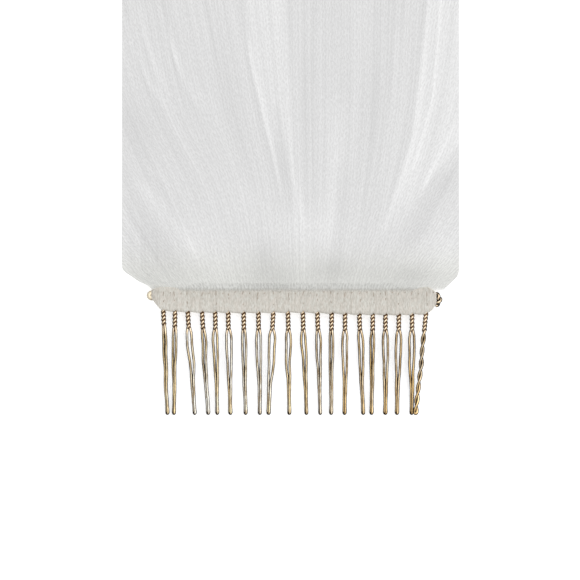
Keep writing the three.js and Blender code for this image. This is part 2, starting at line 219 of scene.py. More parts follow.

# The creases that show by the comb, from the left side of the net to the right; their density also paints
# light along them, and shade where it is negative.
CREASES = (
    Crease(((-43.6, 78), (-41.8, 70), (-38.4, 60), (-34.8, 52)), 0.8, 0.5, 0.6),
    Crease(((-36.0, 74), (-34.0, 66), (-30.6, 57)), 0.9, 0.45, 0.5),
    Crease(((-28.6, 60), (-26.4, 52.8), (-22.8, 46)), 0.8, 0.4, 0.45),
    Crease(
        ((-44.0, 31.0), (-40.4, 26.0), (-36.0, 20.5), (-31.6, 14.6), (-27.6, 9.6), (-24.6, 5.0)),
        2.4, 0.4, 0.75,
    ),
    Crease(((-13.6, 70), (-12.2, 61), (-9.8, 51), (-8.7, 45.7), (-6.2, 36.3), (-4.0, 25)), 0.75, 0.8, 0.95),
    Crease(((-6.0, 52), (-5.2, 44), (-4.2, 34), (-3.4, 26)), 1.1, -0.45, -0.5),
    Crease(((-3.6, 79), (-2.9, 64), (-2.1, 43.5), (-1.0, 31.6), (1.5, 19.8), (2.4, 16)), 0.9, 0.5, 0.6),
    Crease(((3.0, 69), (3.3, 56), (3.2, 44), (4.0, 30)), 2.4, -0.15, -0.2),
    Crease(((11.6, 52), (12.2, 42), (11.6, 30)), 4.2, 0.5, 0.25),
    Crease(((21.4, 66), (21.0, 52), (20.2, 38)), 1.6, -0.2, -0.2),
    Crease(((36.2, 79), (34.2, 58.3), (32.0, 41.3), (27.9, 27.5), (22.4, 11.6)), 0.9, 0.8, 0.9),
    Crease(((39.7, 79), (39.2, 70.7), (37.5, 51.4), (33.4, 36.3), (30.6, 29)), 0.7, 0.8, 1.1),
    Crease(((43.6, 79), (41.0, 62), (38.6, 48), (36.2, 38)), 0.8, -0.3, -0.35),
    Crease(((44.6, 48), (43.2, 44), (40.0, 37.4), (36.4, 30.3), (33.6, 23)), 0.8, 0.9, 1.1),
    Crease(((45.6, 35), (41.6, 30), (37.0, 23), (32.6, 14), (29.4, 8)), 2.9, -0.4, -0.9),
    Crease(((-46.9, 76), (-44.5, 65.7), (-40.3, 56), (-34.5, 47.6)), 0.8, 0.4, 0.6),
    Crease(((-35.5, 70.4), (-33.1, 62.8), (-29.8, 55.2), (-25.0, 46.6)), 0.9, 0.4, 0.6),
    Crease(((-46.5, 37.0), (-38.0, 30.5), (-30.0, 25.5)), 1.1, 0.3, 0.4),
    Crease(((27.6, 72), (26.6, 56), (24.6, 40), (22.4, 26)), 0.9, 0.3, 0.35),
)

# Stretches where the net lies denser and is painted lighter.
BANDS = (
    Band(
        ((-6.2, 36), (-9.8, 51), (-12.2, 61), (-13.6, 70), (-14.4, 79)),
        ((-1.8, 36), (-2.4, 50), (-2.9, 64), (-3.6, 79)),
        32, 14, 0.7,
    ),
    Band(
        ((22.4, 11.6), (27.9, 27.5), (32.0, 41.3), (34.2, 58.3), (36.2, 79)),
        ((28.0, 11.6), (34.8, 26.7), (39.7, 32.2), (44.7, 38.5), (60.0, 56.0), (70.0, 79)),
        12, 18, 0.95,
    ),
    Band(
        ((27.0, 6.0), (30.0, 12.0), (35.4, 26.0), (42.0, 34.0), (46.0, 38.0)),
        ((70.0, 6.0), (70.0, 38.0)),
        2, 6, 0.3,
    ),
    Band(
        ((-60.0, 4.0), (-60.0, 40.0)),
        ((-40.0, 4.0), (-43.5, 16.0), (-47.0, 24.0), (-52.0, 40.0)),
        2, 5, 0.35,
    ),
)

# Patches of denser net painted lighter and of thinner net painted darker; the dark ones by the comb are
# painted shade between its gathers.
PATCHES = (
    Patch(-27.0, 13.4, 8.0, 5.0, 66, 0.45),
    Patch(-38.2, 10.6, 10.5, 4.4, -50, -0.42),
    Patch(-42.8, 44.0, 8.5, 4.2, -60, -0.6),
    Patch(-20.5, 7.0, 6.0, 4.0, 90, 0.5),
    Patch(-6.0, 2.2, 7.0, 4.6, 0, -1.1),
    Patch(-8.4, 8.2, 4.8, 2.8, 80, -0.75),
    Patch(2.2, 6.5, 5.0, 2.0, 80, 0.5),
    Patch(3.4, 16.6, 10.0, 5.5, 0, 0.75),
    Patch(9.8, 4.4, 6.2, 3.8, 0, -1.2),
    Patch(22.6, 3.6, 5.0, 3.4, 0, -0.5),
    Patch(32.0, 3.2, 5.4, 3.6, 0, -1.2),
    Patch(41.5, 9.5, 6.5, 3.4, 80, 0.5),
    Patch(-19.0, 56.0, 12.0, 4.0, -62, -0.15),
    Patch(22.0, 48.0, 15.0, 3.6, 86, -0.25),
    Patch(12.6, 34.0, 12.0, 4.6, 80, 0.25),
    Patch(-12.0, 24.0, 8.0, 3.5, -75, 0.35),
)

# The binding's lower edge between the teeth, as x and y.
LOWER_EDGE = (
    (-39.0, -6.6), (-35.0, -6.9), (-31.8, -7.05), (-24.4, -7.25), (-15.0, -7.35), (2.0, -7.25),
    (8.0, -7.45), (16.0, -7.8), (27.0, -7.95), (34.0, -7.8), (39.0, -7.2),
)

TEETH = (
    ToothPlan(-36.3, -35.2, 58, 62, 0.8, 0.16),
    ToothPlan(-33.1, -33.4, 50, 64, 0.8, 0.08),
    ToothPlan(-29.6, -27.7, 14, 62, 0.8, 0.14),
    ToothPlan(-25.7, -24.0, 48, 56, 0.8, 0.14),
    ToothPlan(-22.1, -21.5, 34, 66, 0.8, 0.12),
    ToothPlan(-18.5, -17.9, 12, 58, 0.8, 0.10),
    ToothPlan(-14.3, -13.7, 44, 60, 0.8, 0.10),
    ToothPlan(-10.2, -9.8, 30, 62, 0.8, 0.08),
    ToothPlan(-6.1, -7.4, 6, 56, 0.8, 0.10, 1.2),
    ToothPlan(-2.1, -1.7, 28, 64, 0.8, 0.12),
    ToothPlan(2.0, 3.0, 36, 66, 0.8, 0.12),
    ToothPlan(6.0, 6.8, 34, 70, 0.8, 0.12),
    ToothPlan(9.9, 9.8, 52, 60, 0.8, 0.08),
    ToothPlan(13.6, 13.5, 24, 56, 0.8, 0.08),
    ToothPlan(17.5, 18.6, 34, 64, 0.8, 0.12),
    ToothPlan(21.2, 20.9, 52, 60, 0.8, 0.06),
    ToothPlan(24.7, 24.7, 24, 52, 0.8, 0.06),
    ToothPlan(28.4, 27.9, 8, 54, 0.8, 0.08),
    ToothPlan(32.0, 31.9, 10, 60, 0.8, 0.10),
    ToothPlan(35.9, 33.0, 62, 1270, 2.15, 0.08),
)


STITCH_ROWS = (
    StitchRow(0.0, (-1.85, 0.3, 3.3), (1.2, 0.4, 2.1), (84.0, 16.0, 1.7)),
    StitchRow(0.1, (-3.9, 0.9, 2.9), (0.6, 0.35, 3.7), (88.0, 9.0, 4.3)),
    StitchRow(1.9, (-1.6, 0.25, 4.1), (0.5, 0.0, 1.0), (66.0, 20.0, 2.3)),
)

# The waves that wander() adds up: height, rate, share of the seed and start of each.
WANDERING = ((0.5, 0.71, 1.7, 0.0), (0.32, 1.37, -2.3, 0.8), (0.24, 2.31, 3.1, 2.1))

# The waves that draw the net: direction in degrees and strength of each.
NET_WAVES = ((0.0, 0.62), (120.0, 0.2), (240.0, 0.2))


def smoothstep(value: Floats | float, low: float, high: float) -> Floats:
    """Smooth step from 0 at low to 1 at high.

    Args:
        value: The numbers to step.
        low: Where the step starts.
        high: Where the step ends.

    Returns:
        The stepped numbers, from 0 to 1.
    """
    share = np.clip((np.asarray(value, float) - low) / (high - low), 0.0, 1.0)
    return share * share * (3.0 - 2.0 * share)


def hill(at: Floats | float, middle: float, width: float) -> Floats:
    """Bell-shaped hill of height 1.

    Args:
        at: Where to read it.
        middle: Where its top is.
        width: How far from the top it has fallen to about a third.

    Returns:
        Its height.
    """
    return np.exp(-(((at - middle) / width) ** 2))


def wander(at: Floats, seed: float) -> Floats:
    """Smooth uneven waves between about -1 and 1, the same on every run.

    Args:
        at: Where to read the waves, one wave taking about one unit.
        seed: Shifts the waves, so that each use has its own.

    Returns:
        The height of the waves.
    """
    at = np.asarray(at, float) * 2.0 * math.pi
    return sum(height * np.sin(rate * at + share * seed + start) for height, rate, share, start in WANDERING)


def joined(t: Floats | float, span: Floats | float, ends: Sequence, slopes: Sequence) -> Floats:
    """Smooth curve between two stations that keeps the value and the slope at each.

    Args:
        t: Share of the way from the first station to the second.
        span: Distance between the stations.
        ends: The value at each station.
        slopes: The slope at each station.

    Returns:
        The curve's values.
    """
    return (
        (2 * t**3 - 3 * t**2 + 1) * ends[0]
        + (t**3 - 2 * t**2 + t) * span * slopes[0]
        + (3 * t**2 - 2 * t**3) * ends[1]
        + (t**3 - t**2) * span * slopes[1]
    )


def steady_curve(stations: Floats, values: Floats, at: Floats) -> Floats:
    """Smooth curve through a table that never swings past its values.

    Args:
        stations: Rising stations of the table.
        values: The value at each station.
        at: Where to read the curve.

    Returns:
        The curve's values.
    """
    span = np.diff(stations)
    secant = np.diff(values) / span
    slope = np.zeros(len(stations))
    for i in range(1, len(stations) - 1):
        before, after = secant[i - 1], secant[i]
        if before * after > 0:
            slope[i] = 2.0 * before * after / (before + after)
    slope[0], slope[-1] = secant[0], secant[-1]
    at = np.clip(np.asarray(at, float), stations[0], stations[-1])
    k = np.clip(np.searchsorted(stations, at, side="right") - 1, 0, len(span) - 1)
    t = (at - stations[k]) / span[k]
    return joined(t, span[k], (values[k], values[k + 1]), (slope[k], slope[k + 1]))


def fan_curve(values: Floats, at: float) -> Floats:
    """Smooth curves through the four fan stations, as the part's own folds follow.

    Args:
        values: One row for each station and one column for each fold edge.
        at: Distance from the comb.

    Returns:
        Each fold edge's x.
    """
    last = len(FAN_STATIONS) - 1
    i = int(np.clip(np.searchsorted(FAN_STATIONS, at) - 1, 0, last - 1))
    span = FAN_STATIONS[i + 1] - FAN_STATIONS[i]
    t = float(np.clip((at - FAN_STATIONS[i]) / span, 0.0, 1.0))
    slopes = []
    for k in (i, i + 1):
        a, b = max(k - 1, 0), min(k + 1, last)
        slopes.append((values[b] - values[a]) / (FAN_STATIONS[b] - FAN_STATIONS[a]))
    return joined(t, span, (values[i], values[i + 1]), slopes)


def rising(route: Route) -> Floats:
    """Sorts a route by its distance from the comb."""
    return np.array(sorted(route, key=lambda place: place[1]))


def finished_mesh(name: str, shape: bmesh.types.BMesh) -> bpy.types.Mesh:
    """Turns a finished bmesh into a mesh and frees it.

    Args:
        name: The mesh's name.
        shape: The finished bmesh.

    Returns:
        The mesh.
    """
    mesh = bpy.data.meshes.new(name)
    shape.to_mesh(mesh)
    shape.free()
    return mesh


def finished_object(name: str, mesh: bpy.types.Mesh, material: bpy.types.Material) -> bpy.types.Object:
    """Links a mesh to the scene as an object at the origin with one material.

    Args:
        name: The piece's name.
        mesh: Its mesh, already in metres in the part's frame.
        material: Its finish.

    Returns:
        The new object.
    """
    mesh.materials.append(material)
    mesh.shade_smooth()
    piece = bpy.data.objects.new(name, mesh)
    bpy.context.scene.collection.objects.link(piece)
    return piece


def declare(piece: bpy.types.Object, slot: Slot, *nodes: str) -> None:
    """Says what a piece rides on and which part nodes it stands for.

    Args:
        piece: The finished piece.
        slot: The record's material slot; not used.
        *nodes: Nodes of the part that the piece replaces.
    """
    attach(piece, BODY)
    if nodes:
        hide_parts(*nodes)
    LOG.info("%s: %d faces, stands for %s", piece.name, len(piece.data.polygons), ", ".join(nodes) or "trim")


def to_part_frame(points: Floats) -> Floats:
    """Moves points from the veil's frame in millimetres to the part's frame in metres.

    Args:
        points: Points, one a row.

    Returns:
        The moved points.
    """
    return (points + np.array(VEIL_SHIFT)) * MM


def wire_mesh(
    name: str, points: Sequence[Vector], radius: float, swell: Floats | float = 1.0, sides: int = 10
) -> bpy.types.Mesh:
    """A round wire along a path, with rounded ends.

    Args:
        name: The mesh's name.
        points: The wire's centre line, in millimetres in the veil's frame.
        radius: The wire's radius in millimetres.
        swell: How many times thicker the wire is at each point.
        sides: Number of sides.

    Returns:
        The wire as a mesh in the part's frame.
    """
    curve = bpy.data.curves.new(name, "CURVE")
    curve.dimensions = "3D"
    curve.bevel_depth = radius * MM
    curve.bevel_resolution = sides // 2 - 2
    curve.use_fill_caps = True
    spline = curve.splines.new("POLY")
    spline.points.add(len(points) - 1)
    places = to_part_frame(np.array([tuple(p) for p in points]))
    flat = np.column_stack([places, np.ones(len(places))]).ravel()
    spline.points.foreach_set("co", flat)
    thickness = np.ones(len(points)) * swell
    thickness[[0, -1]] *= 0.6
    spline.points.foreach_set("radius", thickness)
    holder = bpy.data.objects.new(name, curve)
    bpy.context.scene.collection.objects.link(holder)
    graph = bpy.context.evaluated_depsgraph_get()
    mesh = bpy.data.meshes.new_from_object(holder.evaluated_get(graph))
    mesh.name = name
    bpy.data.objects.remove(holder)
    bpy.data.curves.remove(curve)
    return mesh


def near_middle(wire: Sequence[Vector], near: float, far: float) -> Floats:
    """Says how near each point of a wire is to its middle point.

    Args:
        wire: The wire's points.
        near: Up to so many points away it is 1.
        far: From so many points away it is 0.

    Returns:
        A number from 0 to 1 for each point.
    """
    away = np.abs(np.arange(len(wire)) - (len(wire) - 1) / 2.0)
    return 1.0 - smoothstep(away, near, far)


class Graph:
    """Adds nodes to one node tree and links them."""

    def __init__(self, tree: bpy.types.NodeTree) -> None:
        """Starts on an emptied tree."""
        self.tree = tree
        tree.nodes.clear()

    def node(self, kind: str, inputs: dict | None = None, **settings: object) -> bpy.types.Node:
        """Adds one node.

        Args:
            kind: The node's type.
            inputs: Values or sockets for its inputs, by name or number.
            **settings: The node's own settings.

        Returns:
            The new node.
        """
        made = self.tree.nodes.new(kind)
        for key, value in settings.items():
            setattr(made, key, value)
        for key, value in (inputs or {}).items():
            if isinstance(value, Socket):
                self.tree.links.new(value, made.inputs[key])
            else:
                made.inputs[key].default_value = value
        return made

    def math(self, operation: str, *values: object) -> Socket:
        """Adds a Math node and returns its result."""
        return self.node("ShaderNodeMath", dict(enumerate(values)), operation=operation).outputs[0]

    def vector(self, operation: str, *values: object, output: str = "Vector") -> Socket:
        """Adds a Vector Math node and returns one of its results."""
        return self.node("ShaderNodeVectorMath", dict(enumerate(values)), operation=operation).outputs[output]

    def scaled(self, vector: Socket, scale: object) -> Socket:
        """Scales a vector or a colour."""
        node = self.node("ShaderNodeVectorMath", {0: vector, "Scale": scale}, operation="SCALE")
        return node.outputs["Vector"]

    def axis(self, vector: Socket, name: str) -> Socket:
        """Takes the X, Y or Z of a vector."""
        return self.node("ShaderNodeSeparateXYZ", {0: vector}).outputs[name]

    def ramp(self, value: Socket, ramp: Ramp) -> Socket:
        """Adds a smooth Map Range node.

        Args:
            value: The number that changes.
            ramp: Its limits and the values there.

        Returns:
            The node's result.
        """
        inputs = {"Value": value, "From Min": ramp.low, "From Max": ramp.high}
        inputs |= {"To Min": ramp.to_low, "To Max": ramp.to_high}
        return self.node("ShaderNodeMapRange", inputs, interpolation_type="SMOOTHSTEP").outputs["Result"]

    def attribute(self, name: str) -> Socket:
        """Reads a named number of the mesh."""
        return self.node("ShaderNodeAttribute", attribute_name=name).outputs["Fac"]

    def place(self) -> Socket:
        """Reads the place in the part's frame."""
        return self.node("ShaderNodeTexCoord").outputs["Object"]

    def upwards(self) -> Socket:
        """Reads how far the surface faces up."""
        return self.axis(self.node("ShaderNodeNewGeometry").outputs["Normal"], "Z")

    def varied(self, mottle: Tree, place: Socket, stretch: Triple) -> Socket:
        """Places the mottle group and returns its value near 1."""
        inputs = {"Vector": place, "Scale": 1.0, "Stretch": stretch, "Amount": 1.0}
        return self.node("ShaderNodeGroup", inputs, node_tree=mottle).outputs["Value"]

    def bump(self, height: Socket, strength: float, distance: float) -> Socket:
        """Adds a Bump node and returns its normal."""
        inputs = {"Strength": strength, "Distance": distance, "Height": height}
        return self.node("ShaderNodeBump", inputs).outputs["Normal"]

    def mix(self, share: object, first: object, second: object) -> Socket:
        """Adds a colour Mix node.

        Args:
            share: How much of the second colour shows.
            first: The first colour.
            second: The second colour.

        Returns:
            The mixed colour.
        """
        made = self.node("ShaderNodeMix", data_type="RGBA")
        for socket, value in ((made.inputs[0], share), (made.inputs[6], first), (made.inputs[7], second)):
            if isinstance(value, Socket):
                self.tree.links.new(value, socket)
            else:
                socket.default_value = value
        return made.outputs[2]


def node_group(name: str, numbers: Sequence[str], vectors: Sequence[str], output: str) -> Tree:
    """Makes an empty shader node group with its named sockets.

    Args:
        name: The group's name.
        numbers: Names of its number inputs.
        vectors: Names of its vector inputs.
        output: Name of its one number output.

    Returns:
        The new group.
    """
    tree = bpy.data.node_groups.new(name, "ShaderNodeTree")
    for label in vectors:
        tree.interface.new_socket(name=label, in_out="INPUT", socket_type="NodeSocketVector")
    for label in numbers:
        tree.interface.new_socket(name=label, in_out="INPUT", socket_type="NodeSocketFloat")
    tree.interface.new_socket(name=output, in_out="OUTPUT", socket_type="NodeSocketFloat")
    return tree


def net_threads_group() -> Tree:
    """Makes the group that draws one layer of hexagonal net as a mask of its threads.

    Three waves at 120 degrees add up to round holes in a honeycomb. Where their sum is below the
    thread level, there is thread. Noise drawn out along the folds makes the threads uneven.

    Returns:
        The group, with the inputs Vector, Cell, Thread, Softness and Uneven and the output Mask.
    """
    drawn_out = (0.44, 0.115, 1.0)
    squash = 0.72
    tree = node_group("net_threads", ("Cell", "Thread", "Softness", "Uneven"), ("Vector",), "Mask")
    graph = Graph(tree)
    source = graph.node("NodeGroupInput").outputs
    wave_number = graph.math("DIVIDE", 4.0 * math.pi / math.sqrt(3.0), source["Cell"])
    place = graph.scaled(source["Vector"], wave_number)
    streaks = graph.vector("MULTIPLY", place, drawn_out)
    noise = graph.node("ShaderNodeTexNoise", {"Vector": streaks, "Scale": 1.0, "Detail": 1.0}).outputs["Fac"]
    total = graph.math("MULTIPLY", graph.math("SUBTRACT", noise, 0.5), source["Uneven"])
    for angle, weight in NET_WAVES:
        way = (math.cos(math.radians(angle)), squash * math.sin(math.radians(angle)), 0.0)
        along = graph.vector("DOT_PRODUCT", place, way, output="Value")
        total = graph.math("ADD", total, graph.math("MULTIPLY", graph.math("COSINE", along), weight))
    low = graph.math("SUBTRACT", source["Thread"], source["Softness"])
    high = graph.math("ADD", source["Thread"], source["Softness"])
    graph.node("NodeGroupOutput", {"Mask": graph.ramp(total, Ramp(low, high, 1.0, 0.0))})
    return tree


def mottle_group() -> Tree:
    """Makes the group that varies a finish over the surface.

    Returns:
        The group, with the inputs Vector, Scale, Stretch and Amount and the output Value near 1.
    """
    tree = node_group("mottle", ("Scale", "Amount"), ("Vector", "Stretch"), "Value")
    graph = Graph(tree)
    source = graph.node("NodeGroupInput").outputs
    place = graph.vector("MULTIPLY", source["Vector"], source["Stretch"])
    noise = graph.node("ShaderNodeTexNoise", {"Vector": place, "Scale": source["Scale"], "Detail": 3.0})
    swing = graph.math("MULTIPLY", graph.math("SUBTRACT", noise.outputs["Fac"], 0.5), source["Amount"])
    graph.node("NodeGroupOutput", {"Value": graph.math("ADD", 1.0, swing)})
    return tree


def new_material(name: str) -> tuple[bpy.types.Material, Graph]:
    """Makes a material with an empty node tree.

    Args:
        name: The material's name.

    Returns:
        The material and the graph of its nodes.
    """
    material = bpy.data.materials.new(name)
    material.use_nodes = True
    return material, Graph(material.node_tree)


def shade(graph: Graph, inputs: dict) -> None:
    """Ends a material with its Principled shader and output.

    Args:
        graph: The material's graph.
        inputs: Values and sockets for the shader.
    """
    shader = graph.node("ShaderNodeBsdfPrincipled", inputs)
    graph.node("ShaderNodeOutputMaterial", {"Surface": shader.outputs["BSDF"]})


@dataclass(frozen=True)
class NetFinish:
    """Soft white net: threads in painted light round hexagonal holes, over the net below in painted shade;
    painted lighter where it lies densely and darker by the comb.
    """

    # Lit colour of the top threads and painted shade of the net below them, and the same pair by the comb,
    # where both are darker as painted shade and warmer with the ribbon's tint.
    lit_thread_colour: Colour = (0.725, 0.725, 0.725, 1.0)
    shaded_under_colour: Colour = (0.625, 0.625, 0.625, 1.0)
    comb_lit_thread: Colour = (0.695, 0.698, 0.672, 1.0)
    comb_shaded_under: Colour = (0.602, 0.605, 0.582, 1.0)
    cell: float = 0.98 * MM
    softness: float = 1.0
    thread: float = -0.15
    gain: float = 0.35
    uneven: float = 9.2
    under_thread: float = 0.10
    under_gain: float = 0.6
    under_uneven: float = 4.0
    under_shift: Triple = (0.0004, 0.0007, 0.0)
    under_turn: Triple = (0.0, 0.0, 0.17)
    under_scale: Triple = (1.05, 0.9, 1.0)
    streaks: Triple = (4.0, 16.0, 1.0)
    layer_share: float = 0.5
    # Painted light and shade: how much the density brightens the net, and darkens it where negative.
    painted_layer_light: float = 0.2
    top_cover: float = 0.8
    under_cover: float = 0.7
    doubled_cover: float = 0.8
    top_light: float = 0.75
    roughness: float = 0.75
    sheen: float = 0.2

    def material(self, threads: Tree, mottle: Tree) -> bpy.types.Material:
        """Makes the net's material.

        Args:
            threads: The group that draws a layer of net.
            mottle: The group that varies a finish.

        Returns:
            The material.
        """
        material, graph = new_material("soft_net")
        place = graph.node("ShaderNodeUVMap", uv_map="net").outputs["UV"]
        fan = graph.node("ShaderNodeUVMap", uv_map="fan").outputs["UV"]
        streaks = graph.math("SUBTRACT", graph.varied(mottle, fan, self.streaks), 1.0)
        # How densely the net lies, with random streaks; it thickens the threads and, below, brightens the
        # colour as painted light and darkens it as painted shade.
        lying_and_shading = graph.math("MULTIPLY_ADD", graph.attribute("layers"), self.layer_share, streaks)

        def layer(vector: Socket, gain: float, level: float, uneven: float) -> Socket:
            """Draws one layer of net, denser where more net lies.

            Args:
                vector: Places on the layer.
                gain: How much the net that lies there counts.
                level: The thread level where the net is plain.
                uneven: How uneven the threads are.

            Returns:
                The mask of the layer's threads.
            """
            thread = graph.math("MULTIPLY_ADD", lying_and_shading, gain, level)
            inputs = {"Vector": vector, "Cell": self.cell, "Thread": thread}
            inputs |= {"Softness": self.softness, "Uneven": uneven}
            return graph.node("ShaderNodeGroup", inputs, node_tree=threads).outputs["Mask"]

        top = layer(place, self.gain, self.thread, self.uneven)
        inputs = {"Vector": place, "Location": self.under_shift}
        inputs |= {"Rotation": self.under_turn, "Scale": self.under_scale}
        turned = graph.node("ShaderNodeMapping", inputs).outputs["Vector"]
        under = layer(turned, self.under_gain, self.under_thread, self.under_uneven)
        see_through = graph.math("MULTIPLY_ADD", graph.attribute("doubled"), -self.doubled_cover, 1.0)
        for mask, share in ((top, self.top_cover), (under, self.under_cover)):
            see_through = graph.math("MULTIPLY", see_through, graph.math("MULTIPLY_ADD", mask, -share, 1.0))
        cover = graph.math("MULTIPLY", graph.math("SUBTRACT", 1.0, see_through), graph.attribute("edge"))
        # The top threads take the lit colour and the net below them the shaded one: painted light and shade.
        under_light = graph.math("MULTIPLY", under, 1.0 - self.top_light)
        lit = graph.math("MULTIPLY_ADD", top, self.top_light, under_light)
        # Away from the comb and near it, where the net is painted darker as shade, and warmer.
        away = graph.mix(lit, self.shaded_under_colour, self.lit_thread_colour)
        near = graph.mix(lit, self.comb_shaded_under, self.comb_lit_thread)
        # Painted light where the net lies densely and painted shade where it is thin.
        painted_light = graph.math("MULTIPLY_ADD", lying_and_shading, self.painted_layer_light, 1.0)
        shade(
            graph,
            {
                "Base Color": graph.scaled(graph.mix(graph.attribute("by_comb"), away, near), painted_light),
                "Roughness": self.roughness,
                "Alpha": cover,
                "Normal": graph.bump(top, 0.15, 0.0001),
                "Sheen Weight": self.sheen,
                "Sheen Roughness": 0.5,
            },
        )
        return material


@dataclass(frozen=True)
class RibbonFinish:
    """Ivory ribbed ribbon: darker in its grooves and by the net, paler to the left, and paler on its sides as
    painted light.
    """

    colour: Colour = (0.695, 0.685, 0.632, 1.0)
    blush: Colour = (0.695, 0.655, 0.597, 1.0)
    groove: Colour = (0.485, 0.455, 0.40, 1.0)
    fine: Triple = (5200.0, 1200.0, 700.0)
    broad: Triple = (2600.0, 130.0, 130.0)
    tinge: Triple = (1500.0, 700.0, 700.0)
    fine_share: float = 0.68
    grooves: Ramp = Ramp(0.82, 1.16, 1.0, 0.0)
    tinges: Ramp = Ramp(0.9, 1.1)
    across_tone: Ramp = Ramp(-0.3720, -0.3658, 1.015, 0.95)
    along_tone: Ramp = Ramp(-0.034, -0.020, 1.035, 1.0)
    # Painted light: the ribbon's sides are made paler.
    side_light: Ramp = Ramp(0.2, 0.97, 1.35, 1.0)
    roughness: float = 0.62
    sheen: float = 0.15

    def material(self, mottle: Tree) -> bpy.types.Material:
        """Makes the ribbon's material.

        Args:
            mottle: The group that varies a finish.

        Returns:
            The material.
        """
        material, graph = new_material("ribbed_ribbon")
        place = graph.place()
        fine, broad, tinge = (graph.varied(mottle, place, s) for s in (self.fine, self.broad, self.tinge))
        broad_share = graph.math("MULTIPLY", broad, 1.0 - self.fine_share)
        fibres = graph.math("MULTIPLY_ADD", fine, self.fine_share, broad_share)
        ribbon = graph.mix(graph.ramp(tinge, self.tinges), self.colour, self.blush)
        colour = graph.mix(graph.ramp(fibres, self.grooves), ribbon, self.groove)
        # Painted light on the sides, by how far the surface faces up.
        tone = graph.ramp(graph.upwards(), self.side_light)
        for axis, ramp in (("Y", self.across_tone), ("X", self.along_tone)):
            tone = graph.math("MULTIPLY", tone, graph.ramp(graph.axis(place, axis), ramp))
        shade(
            graph,
            {
                "Base Color": graph.scaled(colour, tone),
                "Roughness": self.roughness,
                "Normal": graph.bump(fine, 0.6, 0.00015),
                "Sheen Weight": self.sheen,
            },
        )
        return material


@dataclass(frozen=True)
class GiltFinish:
    """Pale champagne-gold plated wire with a painted highlight along its top and painted shade down its
    sides, brown wear in patches, and browner to the right.
    """

    colour: Colour = (0.90, 0.85, 0.75, 1.0)
    warm: Colour = (0.93, 0.71, 0.38, 1.0)
    # Brown of real wear in random patches, also laid down the wires' flanks as painted shade.
    wear_and_shade: Colour = (0.42, 0.305, 0.17, 1.0)
    twist: Colour = (0.84, 0.68, 0.48, 1.0)
    # Painted shade on the sides of the legs and of the twists.
    sides: Colour = (0.085, 0.053, 0.026, 1.0)
    twist_flank_shade: Colour = (0.32, 0.19, 0.10, 1.0)
    folded: Colour = (0.90, 0.81, 0.62, 1.0)
    # Painted shade on the sides of the bar's turned-down end, darker still.
    turned_down: Colour = (0.045, 0.028, 0.018, 1.0)
    left_tint: Colour = (1.04, 1.06, 1.09, 1.0)
    right_tint: Colour = (0.93, 0.85, 0.73, 1.0)
    patches: Triple = (1100.0, 330.0, 1100.0)
    scratches: Triple = (6000.0, 700.0, 6000.0)
    hue: Triple = (260.0, 50.0, 260.0)
    wear: Ramp = Ramp(0.90, 1.18, 0.0, 0.9)
    # Painted shade: the brown spreads down the flanks where the surface turns from facing up.
    flank_shade: Ramp = Ramp(0.84, 0.985, 0.75, 0.0)
    # Painted highlight on the top of each wire and painted shade on its sides, by how far the surface faces
    # up.
    lit_top: Ramp = Ramp(0.62, 0.965)
    warmth: Ramp = Ramp(0.86, 1.14)
    leg_tone: Ramp = Ramp(-0.3975, -0.3825, 1.18, 0.64)
    to_the_right: Ramp = Ramp(-0.006, 0.014)
    twisted: Ramp = Ramp(-0.3785, -0.3768)
    left_end: Ramp = Ramp(-0.0402, -0.0386, 0.8, 0.0)
    right_end: Ramp = Ramp(0.0376, 0.0384)
    roughness: Ramp = Ramp(0.75, 1.25, 0.16, 0.36)

    def material(self, mottle: Tree) -> bpy.types.Material:
        """Makes the wire's material.

        Args:
            mottle: The group that varies a finish.

        Returns:
            The material.
        """
        material, graph = new_material("gilt_wire_finish")
        place = graph.place()
        stretches = (self.patches, self.scratches, self.hue)
        patches, scratches, hue = (graph.varied(mottle, place, stretch) for stretch in stretches)
        along, down, upwards = graph.axis(place, "X"), graph.axis(place, "Y"), graph.upwards()
        # Brown wear in random patches, and painted shade down the wire's flanks.
        wear_and_shade = graph.math("MAXIMUM", graph.ramp(patches, self.wear), graph.ramp(upwards, self.flank_shade))
        # Painted highlight on top of each wire, painted shade on its sides.
        lit_top_share = graph.ramp(upwards, self.lit_top)
        plating = graph.mix(graph.ramp(hue, self.warmth), self.colour, self.warm)
        legs = graph.mix(lit_top_share, self.sides, graph.mix(wear_and_shade, plating, self.wear_and_shade))
        tint = graph.mix(graph.ramp(along, self.to_the_right), self.left_tint, self.right_tint)
        legs = graph.vector("MULTIPLY", graph.scaled(legs, graph.ramp(down, self.leg_tone)), tint)
        # Painted shade on the sides of the necks and the bar, darkest at the bar's turned-down end.
        neck_flank_shade = graph.mix(graph.ramp(along, self.right_end), self.twist_flank_shade, self.turned_down)
        wire = graph.mix(graph.ramp(down, self.twisted), legs, graph.mix(lit_top_share, neck_flank_shade, self.twist))
        folded = graph.ramp(along, self.left_end)
        shade(
            graph,
            {
                "Base Color": graph.mix(folded, wire, self.folded),
                "Metallic": graph.math("SUBTRACT", 1.0, folded),
                "Roughness": graph.ramp(scratches, self.roughness),
                "Normal": graph.bump(scratches, 0.25, 0.00005),
            },
        )
        return material


@dataclass(frozen=True)
class ThreadFinish:
    """Tan sewing thread."""

    colour: Colour = (0.44, 0.345, 0.265, 1.0)
    dark: float = 0.6
    plies: Triple = (5000.0, 5000.0, 5000.0)
    twist: Ramp = Ramp(0.8, 1.2)
    roughness: float = 0.7

    def material(self, mottle: Tree) -> bpy.types.Material:
        """Makes the thread's material.

        Args:
            mottle: The group that varies a finish.

        Returns:
            The material.
        """
        material, graph = new_material("sewing_thread")
        plies = graph.varied(mottle, graph.place(), self.plies)
        dark = tuple(self.dark * c for c in self.colour[:3]) + (1.0,)
        colour = graph.mix(graph.ramp(plies, self.twist), self.colour, dark)
        bump = graph.bump(plies, 0.4, 0.00004)
        shade(graph, {"Base Color": colour, "Roughness": self.roughness, "Normal": bump})
        return material


